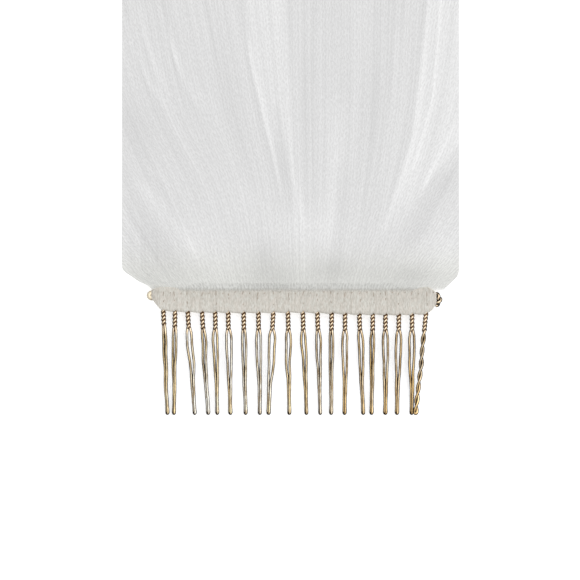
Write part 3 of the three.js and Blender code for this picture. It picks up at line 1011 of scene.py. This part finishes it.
@dataclass
class TulleNet:
    """The net: one thin sheet in folds that fan out from the comb, laid over its binding's edge."""

    columns: int = 464
    comb_edge: float = -1.4
    length: float = 760.0
    close_rows: Route = ((4.0, 0.45), (12.0, 0.7))
    row_step: float = 1.0
    step_growth: float = 0.03
    growth_from: float = 82.0
    most_growth: float = 8.0
    fold_bulge: float = 0.11
    narrow_fold: float = 3.5
    wide_fold: float = 9.0
    fold_steepness: float = 0.9
    trough_depth: float = 1.15
    fold_lean: float = 0.25
    plain_edge: float = 0.07
    side_calm: float = 0.4
    side_small: float = 0.3
    clear: float = 0.5
    lowest: float = 0.15
    gather_count: int = 26
    gather_share: float = 0.35
    fine_gathers: int = 84
    fine_height: float = 0.035
    fine_from: float = 3.0
    fine_until: float = 22.0
    small_share: float = 0.014
    small_width: float = 14.0
    uneven_layers: float = 0.22
    crease_share: float = 0.38
    crease_fade: float = 7.0
    band_fade: float = 6.0
    runs_on_from: float = 78.0
    crease_end: tuple[float, float] = (90.0, 190.0)
    band_end: tuple[float, float] = (85.0, 190.0)
    corner_drop: float = 120.0
    corner_power: float = 2.8
    corner_roundness: float = 0.6
    corner_start: float = 260.0
    hem_sway: float = 5.0
    hem_sway_waves: float = 23.0
    ridge_height: float = 3.57
    ridge_ripple: float = 0.03
    ridge_from: float = 0.9
    ridge_run: float = 30.0
    ridge_sides: tuple[float, float] = (-10.0, 8.5)
    lip: float = 0.22
    lip_at: float = 0.8
    lip_width: float = 0.4
    comb_lift: float = 0.05
    calm_until: float = 75.0
    full_from: float = 230.0
    map_shift: tuple[float, float] = (13.7, 5.3)
    # Rows over which the net turns from its comb colours, painted darker as shade where it gathers, to its
    # own.
    comb_shade_rows: tuple[float, float] = (2.0, 14.0)
    doubled_fade: tuple[float, float] = (90.0, 330.0)
    doubled_loss: float = 0.55
    edge_solid: float = -0.1
    rows: Floats = field(init=False)

    def __post_init__(self) -> None:
        """Works out the rows of the sheet, close together by the comb."""
        rows = [self.comb_edge]
        while rows[-1] < self.length:
            y = rows[-1]
            growth = self.step_growth * max(0.0, y - self.growth_from)
            step = self.row_step + min(self.most_growth, growth)
            step = next((close for until, close in self.close_rows if y < until), step)
            rows.append(min(self.length, y + step))
        self.rows = np.array(rows)

    def section_value(self, name: str, y: float) -> float:
        """Reads one column of the section table.

        Args:
            name: The column.
            y: Distance from the comb.

        Returns:
            The column's value there.
        """
        stations = np.array([s.y for s in SECTIONS])
        values = np.array([getattr(s, name) for s in SECTIONS], float)
        return float(steady_curve(stations, values, y))

    def edges(self, y: float, left: float, right: float) -> Floats:
        """Finds where the fold edges cross one row.

        Args:
            y: The row's distance from the comb.
            left: The net's left side there.
            right: The net's right side there.

        Returns:
            The x of every fold edge.
        """
        far_y = FAN_STATIONS[-1]
        fan = np.array([[e.comb, e.near, e.middle, e.far] for e in FOLD_EDGES]).T
        if y <= far_y:
            return fan_curve(fan, max(y, 0.0))
        far, hem = next(s for s in SECTIONS if s.y == far_y), SECTIONS[-1]
        at_far = (fan[-1] - far.left) / (far.right - far.left)
        at_hem = (np.array([e.hem for e in FOLD_EDGES]) - hem.left) / (hem.right - hem.left)
        drift = float(smoothstep(y, far_y, hem.y))
        share = at_far + (at_hem - at_far) * drift
        return left + (right - left) * share

    def crease_marks(self, x: Floats, y: float) -> tuple[Floats, Floats]:
        """Adds up the creases, bands and patches that cross one row.

        Args:
            x: The row's points.
            y: The row's distance from the comb.

        Returns:
            The height that the creases add and how densely the net lies there, which also gives its painted
            light and shade.
        """
        height, layers = np.zeros_like(x), np.zeros_like(x)
        for crease in CREASES:
            route = rising(crease.route)
            low, high = route[0, 1], route[-1, 1]
            leave = self.crease_end if high > self.runs_on_from else (high - self.crease_fade, high + 1.0)
            reach = float(smoothstep(y, low - 1.0, low + self.crease_fade) * (1.0 - smoothstep(y, *leave)))
            if reach <= 0.0:
                continue
            centre = float(np.interp(y, route[:, 1], route[:, 0]))
            if y > high:
                slope = (route[-1, 0] - route[-2, 0]) / (route[-1, 1] - route[-2, 1])
                centre = route[-1, 0] + slope * (y - high)
            mark = hill(x, centre, crease.width) * reach
            height += crease.height * mark
            layers += crease.layers * mark
        for band in BANDS:
            left, right = rising(band.left), rising(band.right)
            top = max(left[-1, 1], right[-1, 1])
            leave = (top, top + self.band_fade) if top < self.runs_on_from else self.band_end
            reach = float(smoothstep(y, band.low, band.low + band.fade) * (1.0 - smoothstep(y, *leave)))
            from_left = x - np.interp(y, left[:, 1], left[:, 0])
            from_right = x - np.interp(y, right[:, 1], right[:, 0])
            inside = smoothstep(from_left, -0.3, 0.9) * (1.0 - smoothstep(from_right, -0.9, 0.3))
            layers += band.layers * reach * inside
        for patch in PATCHES:
            turn = math.radians(patch.turn)
            along = (x - patch.x) * math.cos(turn) + (y - patch.y) * math.sin(turn)
            over = (y - patch.y) * math.cos(turn) - (x - patch.x) * math.sin(turn)
            layers += patch.layers * hill(along, 0.0, patch.length) * hill(over, 0.0, patch.width)
        return height, layers

    def gather_waves(self, u: Floats) -> Floats:
        """Reads the fine gathers across the net, between -1 and 1."""
        return np.sin(2.0 * math.pi * self.fine_gathers * u + 2.4 * wander(9.0 * u, 2.0))

    def small_folds(self, y: float, u: Floats, fan: Floats, width: Floats) -> Floats:
        """Height of the small uneven folds and, close to the comb, of the fine gathers.

        Args:
            y: The row's distance from the comb.
            u: Fractions of the net's width.
            fan: The fold coordinate of each point.
            width: The width of each point's fold.

        Returns:
            The height at each point.
        """
        uneven = self.small_share * np.minimum(width, self.small_width) * wander(2.6 * fan + 0.0016 * y, 4.0)
        fading = 0.7 + 0.3 * wander(fan * 0.4 + y / 60.0, 9.0)
        close = 1.0 - float(smoothstep(y, self.fine_from, self.fine_until))
        return uneven * fading + self.fine_height * close * self.gather_waves(u)

    def ridge(self, y: float, u: Floats, x: Floats) -> tuple[Floats, Floats]:
        """Works out how the net lies over the comb's binding.

        Args:
            y: The row's distance from the comb.
            u: Fractions of the net's width.
            x: The row's points.

        Returns:
            How far the binding carries the net, from 0 to 1, and the net's height on it.
        """
        beyond_comb = np.maximum(SECTIONS[0].left - x, x - SECTIONS[0].right)
        share = 1.0 - float(smoothstep(y, self.ridge_from, self.ridge_run))
        height = self.ridge_height + self.ridge_ripple * self.gather_waves(u)
        height += self.lip * hill(y, self.lip_at, self.lip_width)
        return share * (1.0 - smoothstep(beyond_comb, *self.ridge_sides)), height

    def hem_drop(self, y: float, u: Floats) -> Floats:
        """How far the hem's rounded corners and its sway draw one row back.

        Args:
            y: The row's distance from the comb.
            u: Fractions of the net's width.

        Returns:
            The distance at each point.
        """
        inside = 1.0 - np.abs(2.0 * u - 1.0) ** self.corner_power
        drop = self.corner_drop * (1.0 - inside**self.corner_roundness)
        sway = self.hem_sway * np.sin(self.hem_sway_waves * u)
        return float(smoothstep(y, self.corner_start, self.length)) * (drop + sway)

    def row_points(self, y: float, u: Floats) -> tuple[Floats, Floats, Floats, Floats, Floats]:
        """Lays out one row of the sheet.

        Args:
            y: The row's distance from the comb.
            u: Fractions of the net's width.

        Returns:
            The points, the flat x of each, the fold coordinate, how densely the net lies with its painted
            light and shade, and the fold edges.
        """
        names = ("left", "right", "rise", "gather", "ripple")
        left, right, rise, gather, ripple = (self.section_value(name, y) for name in names)
        edges = self.edges(y, left, right)
        flat_x = left + (right - left) * u
        k = np.clip(np.searchsorted(edges, flat_x, side="right") - 1, 0, len(edges) - 2)
        width = edges[k + 1] - edges[k]
        t = (flat_x - edges[k]) / width
        fan = k + t
        free = smoothstep(np.minimum(u, 1.0 - u), 0.0, self.plain_edge)
        calm = self.side_calm + (1.0 - self.side_calm) * free
        swell = np.minimum(rise, width * self.fold_steepness) * calm / 2.0 * np.sin(math.pi * t)
        folds = np.where(k % 2 == 1, swell, -swell * self.trough_depth)
        gathers = gather / 2.0 * np.cos(2.0 * math.pi * self.gather_count * u)
        ripples = ripple * (0.6 * np.sin(41.0 * u + y / 130.0) + 0.36 * np.sin(83.0 * u - y / 90.0 + 1.0))
        # The creases, bands and patches give the density, with its painted light and shade.
        crease_height, layers = self.crease_marks(flat_x, y)
        layers += self.uneven_layers * wander(1.7 * fan, 6.0) * (0.6 + 0.4 * wander(y / 45.0 + fan, 3.0))
        small = self.small_folds(y, u, fan, width) + self.crease_share * crease_height
        small *= self.side_small + (1.0 - self.side_small) * free
        lift = self.comb_lift + (1.0 - self.comb_lift) * float(smoothstep(y, self.calm_until, self.full_from))
        z = lift * (rise / 2.0 + folds + ripples) + self.gather_share * gathers + self.clear + small
        z = np.maximum(self.lowest, z)
        ridge, ridge_z = self.ridge(y, u, flat_x)
        z = z + (ridge_z - z) * ridge
        lean = self.fold_lean * (2.0 * u - 1.0) * (z - lift * rise / 2.0) * (1.0 - ridge)
        roundness = lift * self.fold_bulge * smoothstep(width, self.narrow_fold, self.wide_fold)
        bulge = roundness * width * np.sin(2.0 * math.pi * t)
        points = np.column_stack([flat_x + free * (lean - bulge), y - self.hem_drop(y, u), z])
        return points, flat_x, fan, layers, edges

    def net_map(
        self, points: Floats, flat_x: Floats, fan: Floats, edges: Floats, at: tuple[Floats, Floats]
    ) -> Floats:
        """Works out the net's own map, which runs down the middle of each fold.

        Args:
            points: The points of every row.
            flat_x: The flat x of each.
            fan: The fold coordinate of each.
            edges: The fold edges of every row.
            at: The row and the column of each face corner.

        Returns:
            The place of each face corner, in millimetres.
        """
        steps = np.linalg.norm(np.diff(points, axis=1), axis=2)
        across = np.concatenate([np.zeros((len(steps), 1)), np.cumsum(steps, axis=1)], axis=1)
        centres = (edges[:, :-1] + edges[:, 1:]) / 2.0
        centre_across = np.array([np.interp(*row) for row in zip(centres, flat_x, across)])
        centre_steps = np.hypot(np.diff(centres, axis=0), np.diff(self.rows)[:, None])
        centre_along = np.concatenate([np.zeros((1, centres.shape[1])), np.cumsum(centre_steps, axis=0)])
        tilt = np.arctan(np.gradient(centres, self.rows, axis=0))
        face_fan = fan[at].reshape(-1, 4).mean(axis=1)
        fold = np.repeat(np.clip(face_fan.astype(int), 0, centres.shape[1] - 1), 4)
        in_fold = (at[0], fold)
        off_centre = across[at] - centre_across[in_fold]
        beyond = flat_x[at] - centres[in_fold]
        off_centre = np.where(np.abs(off_centre) < np.abs(beyond), beyond, off_centre)
        turn = tilt[in_fold]
        shift_u, shift_v = self.map_shift
        net_u = off_centre * np.cos(turn) + shift_u * fold
        net_v = centre_along[in_fold] - off_centre * np.sin(turn) + shift_v * fold
        return np.column_stack([net_u, net_v])

    def build(self, finish: bpy.types.Material) -> bpy.types.Object:
        """Makes the sheet with its two maps and its attributes.

        Args:
            finish: The net's material.

        Returns:
            The net as one piece.
        """
        rows = len(self.rows) - 1
        shape = bmesh.new()
        bmesh.ops.create_grid(shape, x_segments=self.columns, y_segments=rows, size=0.5)
        mesh = finished_mesh("tulle_net", shape)
        grid = np.zeros(len(mesh.vertices) * 3)
        mesh.vertices.foreach_get("co", grid)
        grid = grid.reshape(-1, 3)
        column = np.rint((grid[:, 0] + 0.5) * self.columns).astype(int)
        row = np.rint((grid[:, 1] + 0.5) * rows).astype(int)
        u = np.linspace(0.0, 1.0, self.columns + 1)
        made = [self.row_points(float(y), u) for y in self.rows]
        points, flat_x, fan, layers, edges = (np.array(values) for values in zip(*made))
        mesh.vertices.foreach_set("co", to_part_frame(points[row, column]).ravel())

        vertex = np.zeros(len(mesh.loops), int)
        mesh.loops.foreach_get("vertex_index", vertex)
        at = (row[vertex], column[vertex])
        maps = {
            "net": self.net_map(points, flat_x, fan, edges, at) * MM,
            "fan": np.column_stack([fan[at], self.rows[at[0]] * MM]),
        }
        for name, places in maps.items():
            mesh.uv_layers.new(name=name).uv.foreach_set("vector", places.astype(np.float32).ravel())
        # How densely the net lies, with its painted light and shade; how near the comb, for the painted shade
        # there; the doubled net; the fade over the binding.
        numbers = {
            "layers": layers[row, column],
            "by_comb": (1.0 - smoothstep(self.rows, *self.comb_shade_rows))[row],
            "doubled": (1.0 - self.doubled_loss * smoothstep(self.rows, *self.doubled_fade))[row],
            "edge": smoothstep(self.rows, self.comb_edge, self.edge_solid)[row],
        }
        for name, values in numbers.items():
            mesh.attributes.new(name, "FLOAT", "POINT").data.foreach_set("value", values.astype(np.float32))
        mesh.update()

        piece = finished_object("tulle_net", mesh, finish)
        declare(piece, Slot.TULLE, "veil_tulle")
        return piece


@dataclass
class RibbonBinding:
    """The ribbed ribbon wound round the bar, drawn in at each tooth and slanted at both ends."""

    left: float = -39.6
    right: float = 38.7
    top: float = 3.42
    floor_gap: float = 0.05
    under_net: float = 1.1
    under_net_from: tuple[float, float] = (8.0, 13.0)
    stations: int = 760
    around: int = 36
    squareness: float = 7.5
    end_length: float = 2.6
    end_power: float = 2.2
    end_width: float = 0.75
    end_height: float = 0.4
    left_slant: float = 3.0
    left_power: float = 1.25
    left_length: float = 3.38
    left_drop: float = 0.5
    right_slant: float = 2.2
    right_drop: float = 1.3
    right_power: float = 1.7
    tooth_spacing: float = 3.9
    scallop: float = 0.42
    scallop_power: float = 0.8
    root_rise: float = 0.3
    root_width: float = 0.5
    rib: float = 0.66
    rib_height: float = 0.025
    side_ribs: float = 0.6

    def lower_edge(self, x: Floats) -> Floats:
        """Finds the scalloped lower edge.

        Args:
            x: Places along the comb.

        Returns:
            The y of the lower edge at each.
        """
        roots = np.array([tooth.root for tooth in TEETH])
        k = np.clip(np.searchsorted(roots, x, side="right") - 1, -1, len(roots) - 1)
        start = np.where(k >= 0, roots[np.maximum(k, 0)], roots[0] - self.tooth_spacing)
        t = np.clip((x - start) / self.tooth_spacing, 0.0, 1.0)
        table = np.array(LOWER_EDGE)
        edge = np.interp(x, table[:, 0], table[:, 1]) + self.scallop * (1.0 - t**self.scallop_power)
        return edge + self.root_rise * sum(hill(x, root, self.root_width) for root in roots)

    def ribs(self, x: Floats, y: Floats) -> Floats:
        """Height of the ribs, which run across the comb and are not quite even.

        Args:
            x: Places along the comb.
            y: Places across the comb.

        Returns:
            The height, about 1 on a rib and 0 in a groove.
        """
        phase = x / self.rib + 0.9 * wander(x / 6.0, 1.0) + 0.12 * y * wander(x / 7.0, 5.0)
        wave = 0.5 + 0.5 * np.cos(2.0 * math.pi * phase)
        return wave**0.7 * (0.6 + 0.4 * wander(x / 2.1 + y / 5.0, 8.0))

    def build(self, finish: bpy.types.Material) -> bpy.types.Object:
        """Makes the binding as a closed tube with slanted ends.

        Args:
            finish: The ribbon's material.

        Returns:
            The binding as one piece.
        """
        shape = bmesh.new()
        bmesh.ops.create_grid(shape, x_segments=self.stations, y_segments=self.around, size=0.5)
        grid = np.array([tuple(v.co) for v in shape.verts])
        angle = 2.0 * math.pi * (grid[:, 1] + 0.5)
        x = self.left + (self.right - self.left) * (grid[:, 0] + 0.5)
        from_end = np.minimum(x - self.left, self.right - x)
        part = np.clip(from_end / self.end_length, 0.0, 1.0)
        body = np.sqrt(np.maximum(1e-6, 1.0 - (1.0 - part) ** self.end_power))
        left_cut = np.clip(1.0 - (x - self.left) / self.left_length, 0.0, 1.0)
        right_cut = np.clip(1.0 - (self.right - x) / self.end_length, 0.0, 1.0) ** self.right_power
        lower = self.lower_edge(x) + self.left_slant * left_cut**self.left_power
        lower = lower + self.right_slant * right_cut
        upper = self.under_net * smoothstep(from_end, *self.under_net_from)
        upper = upper - self.left_drop * left_cut**2 - self.right_drop * right_cut
        half_y = (upper - lower) / 2.0 * (self.end_width + (1.0 - self.end_width) * body)
        half_z = (self.top - self.floor_gap) / 2.0 * (self.end_height + (1.0 - self.end_height) * body)
        power = 2.0 / self.squareness
        out_y, out_z = (np.sign(out) * np.abs(out) ** power for out in (np.cos(angle), np.sin(angle)))
        y = (lower + upper) / 2.0 + half_y * out_y
        rib = self.rib_height * self.ribs(x, y) * smoothstep(out_z, -0.9, 0.2)
        y = y + rib * out_y * self.side_ribs
        z = (self.top + self.floor_gap) / 2.0 + half_z * out_z + rib * out_z
        for vertex, place in zip(shape.verts, to_part_frame(np.column_stack([x, y, z]))):
            vertex.co = place
        bmesh.ops.remove_doubles(shape, verts=shape.verts, dist=1e-7)
        bmesh.ops.holes_fill(shape, edges=[e for e in shape.edges if e.is_boundary], sides=0)
        bmesh.ops.recalc_face_normals(shape, faces=shape.faces)
        piece = finished_object("ribbon_binding", finished_mesh("ribbon_binding", shape), finish)
        declare(piece, Slot.RIBBON, "comb_binding")
        return piece


@dataclass
class Stitching:
    """The tan stitches that show on the binding: a row by its top edge and one by each tooth."""

    radius: float = 0.08
    flatness: float = 0.8
    surface: float = 3.475
    sway: float = 0.25
    sway_rate: float = 5.1

    def build(self, finish: bpy.types.Material) -> bpy.types.Object:
        """Makes the stitches as one piece.

        Args:
            finish: The thread's material.

        Returns:
            The stitches.
        """
        shape = bmesh.new()
        upright = Matrix.Rotation(math.pi / 2.0, 4, "Y")
        for i, tooth in enumerate(TEETH):
            x = tooth.root + self.sway * math.sin(self.sway_rate * i)
            for row in STITCH_ROWS:
                sways = (row.y, row.length, row.turn)
                y, length, angle = (middle + sway * math.sin(rate * i) for middle, sway, rate in sways)
                start = Matrix.Translation(Vector((x + row.beside, y, self.surface)) + VEIL_SHIFT)
                turn = Matrix.Rotation(math.radians(angle), 4, "Z")
                size = Matrix.Diagonal((length / 2.0, self.radius, self.radius * self.flatness, 1.0))
                matrix = Matrix.Scale(MM, 4) @ start @ turn @ size @ upright
                bmesh.ops.create_uvsphere(shape, u_segments=10, v_segments=6, radius=1.0, matrix=matrix)
        piece = finished_object("binding_stitches", finished_mesh("binding_stitches", shape), finish)
        declare(piece, Slot.RIBBON)
        return piece


@dataclass
class WireComb:
    """The comb's wires: the twisted pair of the bar and the twenty twisted loops of its teeth."""

    bar_radius: float = 0.42
    bar_offset: float = 0.40
    bar_pitch: float = 2.9
    bar_z: float = 1.7
    bar_step: float = 0.12
    fold_x: float = -39.5
    fold_radius: float = 0.68
    fold_swell: float = 0.62
    fold_length: float = 1.6
    fold_steps: int = 12
    half_width: float = 38.0
    tooth_radius: float = 0.365
    neck_offset: float = 0.345
    neck_top: float = -4.6
    neck_end: float = -11.55
    neck_fall: float = 0.6
    neck_rise: float = 1.6
    neck_rise_length: float = 5.0
    neck_pitch: float = 2.1
    neck_steps: int = 56
    lean_from: float = -6.8
    shoulder: float = 1.3
    loop_from: float = 0.25
    loop_steps: int = 80
    opening_share: float = 0.7
    sway_gain: float = 1.6
    sway_waves: float = 1.4
    uneven: float = 0.05
    closest: float = -0.04
    bend_y: float = -34.42
    bend_offset: float = 0.34
    bend_swell: float = 0.16
    bend_steps: int = 8
    bow: float = 1.3

    def bar_route(self) -> list[Vector]:
        """Finds the bar's middle line, closely and evenly spaced, with its right end turned down.

        Returns:
            Its points from the comb's left end.
        """
        corners = (
            (self.fold_x, -2.3), (-37.4, -2.1), (-35.0, -1.95), (36.0, -1.95), (37.8, -1.95),
            (38.7, -2.1), (39.3, -2.6), (39.55, -3.5), (39.2, -4.4), (38.4, -5.1),
        )
        dense: list[Vector] = []
        for a, b in zip(corners, corners[1:]):
            first, second = Vector((*a, self.bar_z)), Vector((*b, self.bar_z))
            count = max(2, int((second - first).length / self.bar_step))
            dense.extend(first.lerp(second, i / count) for i in range(count))
        return [*dense, Vector((*corners[-1], self.bar_z))]

    def bar_strand(self, route: Sequence[Vector], side: float) -> list[Vector]:
        """Winds one strand of the bar round its middle line.

        Args:
            route: The middle line.
            side: 1 for one strand and -1 for the other.

        Returns:
            The strand's centre line.
        """
        travelled = 0.0
        points = []
        for i, place in enumerate(route):
            following = route[min(i + 1, len(route) - 1)]
            ahead = following - route[max(i - 1, 0)]
            across = Vector((-ahead.y, ahead.x, 0.0)).normalized()
            angle = 2.0 * math.pi * max(0.0, travelled - self.fold_length) / self.bar_pitch
            spread = float(1.0 - smoothstep(travelled, 0.0, self.fold_length))
            offset = side * (self.bar_offset + (self.fold_radius - self.bar_offset) * spread)
            points.append(place + offset * (math.cos(angle) * across + Vector((0, 0, math.sin(angle)))))
            travelled += (following - place).length
        return points

    def build_bar(self, finish: bpy.types.Material) -> bpy.types.Object:
        """Makes the bar as one wire, folded at the comb's left end and twisted with itself.

        Args:
            finish: The wire's material.

        Returns:
            The bar as one piece.
        """
        route = self.bar_route()
        fold = []
        for step in range(1, self.fold_steps):
            angle = math.pi * step / self.fold_steps
            fold.append(route[0] + self.fold_radius * Vector((-math.sin(angle), math.cos(angle), 0.0)))
        wire = self.bar_strand(route, 1.0)[::-1] + fold + self.bar_strand(route, -1.0)
        swell = 1.0 + self.fold_swell * near_middle(wire, 6.0, 22.0)
        piece = finished_object("bar_wires", wire_mesh("bar_wires", wire, self.bar_radius, swell), finish)
        declare(piece, Slot.GILT_WIRE, "comb_bar")
        return piece

    def neck_bottom(self, plan: ToothPlan) -> float:
        """Finds where a tooth's twisted neck ends.

        Args:
            plan: The tooth.

        Returns:
            Its y, higher at the comb's left end and lower on its right side.
        """
        from_left = plan.root + self.half_width
        rise = self.neck_rise * math.exp(-from_left / self.neck_rise_length)
        return self.neck_end - self.neck_fall * from_left / (2.0 * self.half_width) + rise

    def strand_offset(self, plan: ToothPlan, y: float) -> float:
        """Half the distance between a tooth's two strands.

        Args:
            plan: The tooth.
            y: Distance along the comb's teeth, negative downwards.

        Returns:
            The offset of each strand from the tooth's middle line.
        """
        neck_end = self.neck_bottom(plan)
        if y >= neck_end or plan.tip_turn > 180:
            return self.neck_offset
        stations = (self.bend_y, -33.0, -28.0, -23.5, -18.5, -14.6, neck_end - self.shoulder, neck_end)
        opening = np.array([0.5, 0.645, 0.7, 0.61]) * (1.0 + (plan.opening - 1.0) * self.opening_share)
        values = (self.bend_offset, 0.33, 0.385, *opening, self.neck_offset)
        return float(steady_curve(np.array(stations), np.array(values), y))

    def tooth_points(self, plan: ToothPlan, index: int) -> list[Vector]:
        """Follows one wire down a strand, round the bend at the tip and back up the other.

        Args:
            plan: The tooth.
            index: The tooth's number, which gives it its own sway.

        Returns:
            The wire's centre line.
        """
        neck_end = self.neck_bottom(plan)

        def middle(y: float) -> Vector:
            """Finds the middle between the strands.

            Args:
                y: Distance along the comb's teeth, negative downwards.

            Returns:
                The middle there.
            """
            along = max(0.0, (self.lean_from - y) / (self.lean_from - self.bend_y))
            arch = math.sin(math.pi * min(1.0, along))
            sway = plan.sway * self.sway_gain * arch * float(wander(along * self.sway_waves, index * 1.3))
            z = self.bar_z + (plan.lift - self.bar_z) * along + self.bow * arch
            return Vector((plan.root + (plan.tip - plan.root) * along + sway, y, z))

        def outwards(y: float, side: float) -> Vector:
            """Finds the way from the middle to a strand.

            Args:
                y: Distance along the comb's teeth, negative downwards.
                side: 0 for one strand and half a turn for the other.

            Returns:
                The way, of length 1.
            """
            if y > neck_end:
                angle = math.radians(plan.turn) - 2.0 * math.pi * (y - neck_end) / self.neck_pitch
            else:
                share = (neck_end - y) / (neck_end - self.bend_y)
                if plan.tip_turn <= 180:
                    share = float(smoothstep(share, 0.15, 1.0))
                angle = math.radians(plan.turn + (plan.tip_turn - plan.turn) * share)
            return Vector((math.cos(angle + side), 0.0, math.sin(angle + side)))

        strands: list[list[Vector]] = []
        neck = np.linspace(self.neck_top, neck_end, self.neck_steps)
        loop = np.linspace(neck_end - self.loop_from, self.bend_y, self.loop_steps)
        for side in (0.0, math.pi):
            strand = []
            for y in (*neck, *loop):
                bent = self.uneven * float(wander(y / 7.0, index * 0.7 + side)) if y < neck_end - 1.0 else 0.0
                out = self.strand_offset(plan, y) + max(self.closest, bent)
                strand.append(middle(y) + out * outwards(y, side))
            strands.append(strand)
        bend = []
        for step in range(1, self.bend_steps):
            angle = math.pi * step / self.bend_steps
            place = middle(self.bend_y) + outwards(self.bend_y, 0.0) * self.bend_offset * math.cos(angle)
            bend.append(place + Vector((0.0, -self.bend_offset * math.sin(angle), 0.0)))
        return strands[0] + bend + strands[1][::-1]

    def build_tooth(self, index: int, plan: ToothPlan, finish: bpy.types.Material) -> bpy.types.Object:
        """Makes one tooth as one bent and twisted wire.

        Args:
            index: The tooth's number from the left, from 0.
            plan: The tooth's table row.
            finish: The wire's material.

        Returns:
            The tooth as one piece.
        """
        name = f"wire_tooth_{index + 1:02d}"
        wire = self.tooth_points(plan, index)
        swell = 1.0 + self.bend_swell * near_middle(wire, 4.0, 11.0)
        piece = finished_object(name, wire_mesh(name, wire, self.tooth_radius, swell), finish)
        declare(piece, Slot.GILT_WIRE, f"tooth_{index + 1:02d}")
        return piece


@dataclass
class Studio:
    """The pale floor, the soft light and the camera straight above the comb."""

    picture_width: float = 159.5
    picture_centre: tuple[float, float] = (-1.51, -365.79)
    camera_height: float = 1.5
    sensor: float = 36.0
    sky: Ramp = Ramp(0.15, 0.6, 0.12, 0.82)
    white: Colour = (1.0, 1.0, 1.0, 1.0)
    floor_colour: Colour = (0.93, 0.93, 0.93, 1.0)
    floor_roughness: float = 0.9
    floor_glow: float = 0.42
    floor_size: float = 6.0
    floor_drop: float = 0.0001
    light_place: Triple = (0.9, 0.6, 2.0)
    light_size: float = 2.8
    light_power: float = 29.0

    def centre(self) -> Vector:
        """The point on the floor in the middle of the picture."""
        return Vector((*self.picture_centre, 0.0)) * MM

    def build_floor(self) -> None:
        """Makes the floor under the veil."""
        material, graph = new_material("pale_floor")
        glow = {"Emission Color": self.white, "Emission Strength": self.floor_glow}
        shade(graph, {"Base Color": self.floor_colour, "Roughness": self.floor_roughness} | glow)
        shape = bmesh.new()
        bmesh.ops.create_grid(shape, x_segments=1, y_segments=1, size=self.floor_size)
        bmesh.ops.translate(shape, verts=shape.verts, vec=(0.0, 0.0, -self.floor_drop))
        floor = finished_object("floor", finished_mesh("floor", shape), material)
        floor.visible_glossy = False

    def light(self) -> None:
        """Adds the even light of the room and one soft light that points at the comb."""
        world = bpy.data.worlds.new("studio")
        world.use_nodes = True
        graph = Graph(world.node_tree)
        way = graph.node("ShaderNodeTexCoord").outputs["Generated"]
        strength = graph.ramp(graph.axis(way, "Z"), self.sky)
        background = graph.node("ShaderNodeBackground", {"Color": self.white, "Strength": strength})
        graph.node("ShaderNodeOutputWorld", {"Surface": background.outputs["Background"]})
        bpy.context.scene.world = world
        light = bpy.data.lights.new("key", "AREA")
        light.shape = "SQUARE"
        light.size = self.light_size
        light.energy = self.light_power
        holder = bpy.data.objects.new("key", light)
        bpy.context.scene.collection.objects.link(holder)
        holder.location = self.centre() + Vector(self.light_place)
        holder.rotation_euler = (-Vector(self.light_place)).to_track_quat("-Z", "Y").to_euler()
        bpy.context.scene.view_settings.view_transform = "Standard"

    def aim_camera(self) -> None:
        """Makes the camera, which sees the floor as the photograph does."""
        data = bpy.data.cameras.new("camera")
        data.sensor_width = self.sensor
        data.lens = self.sensor * self.camera_height / (self.picture_width * MM)
        data.clip_start, data.clip_end = 0.05, 50.0
        camera = bpy.data.objects.new("camera", data)
        bpy.context.scene.collection.objects.link(camera)
        camera.location = self.centre() + Vector((0.0, 0.0, self.camera_height))
        bpy.context.scene.camera = camera


def main() -> None:
    """Builds the veil, its comb and the studio."""
    logging.basicConfig(level=logging.INFO, format="%(name)s %(message)s")
    studio = Studio()
    studio.aim_camera()
    studio.build_floor()
    studio.light()

    threads, mottle = net_threads_group(), mottle_group()
    net = NetFinish().material(threads, mottle)
    ribbon = RibbonFinish().material(mottle)
    gilt = GiltFinish().material(mottle)
    thread = ThreadFinish().material(mottle)

    TulleNet().build(net)
    RibbonBinding().build(ribbon)
    Stitching().build(thread)
    comb = WireComb()
    comb.build_bar(gilt)
    for index, plan in enumerate(TEETH):
        comb.build_tooth(index, plan, gilt)


if __name__ == "__main__":
    main()
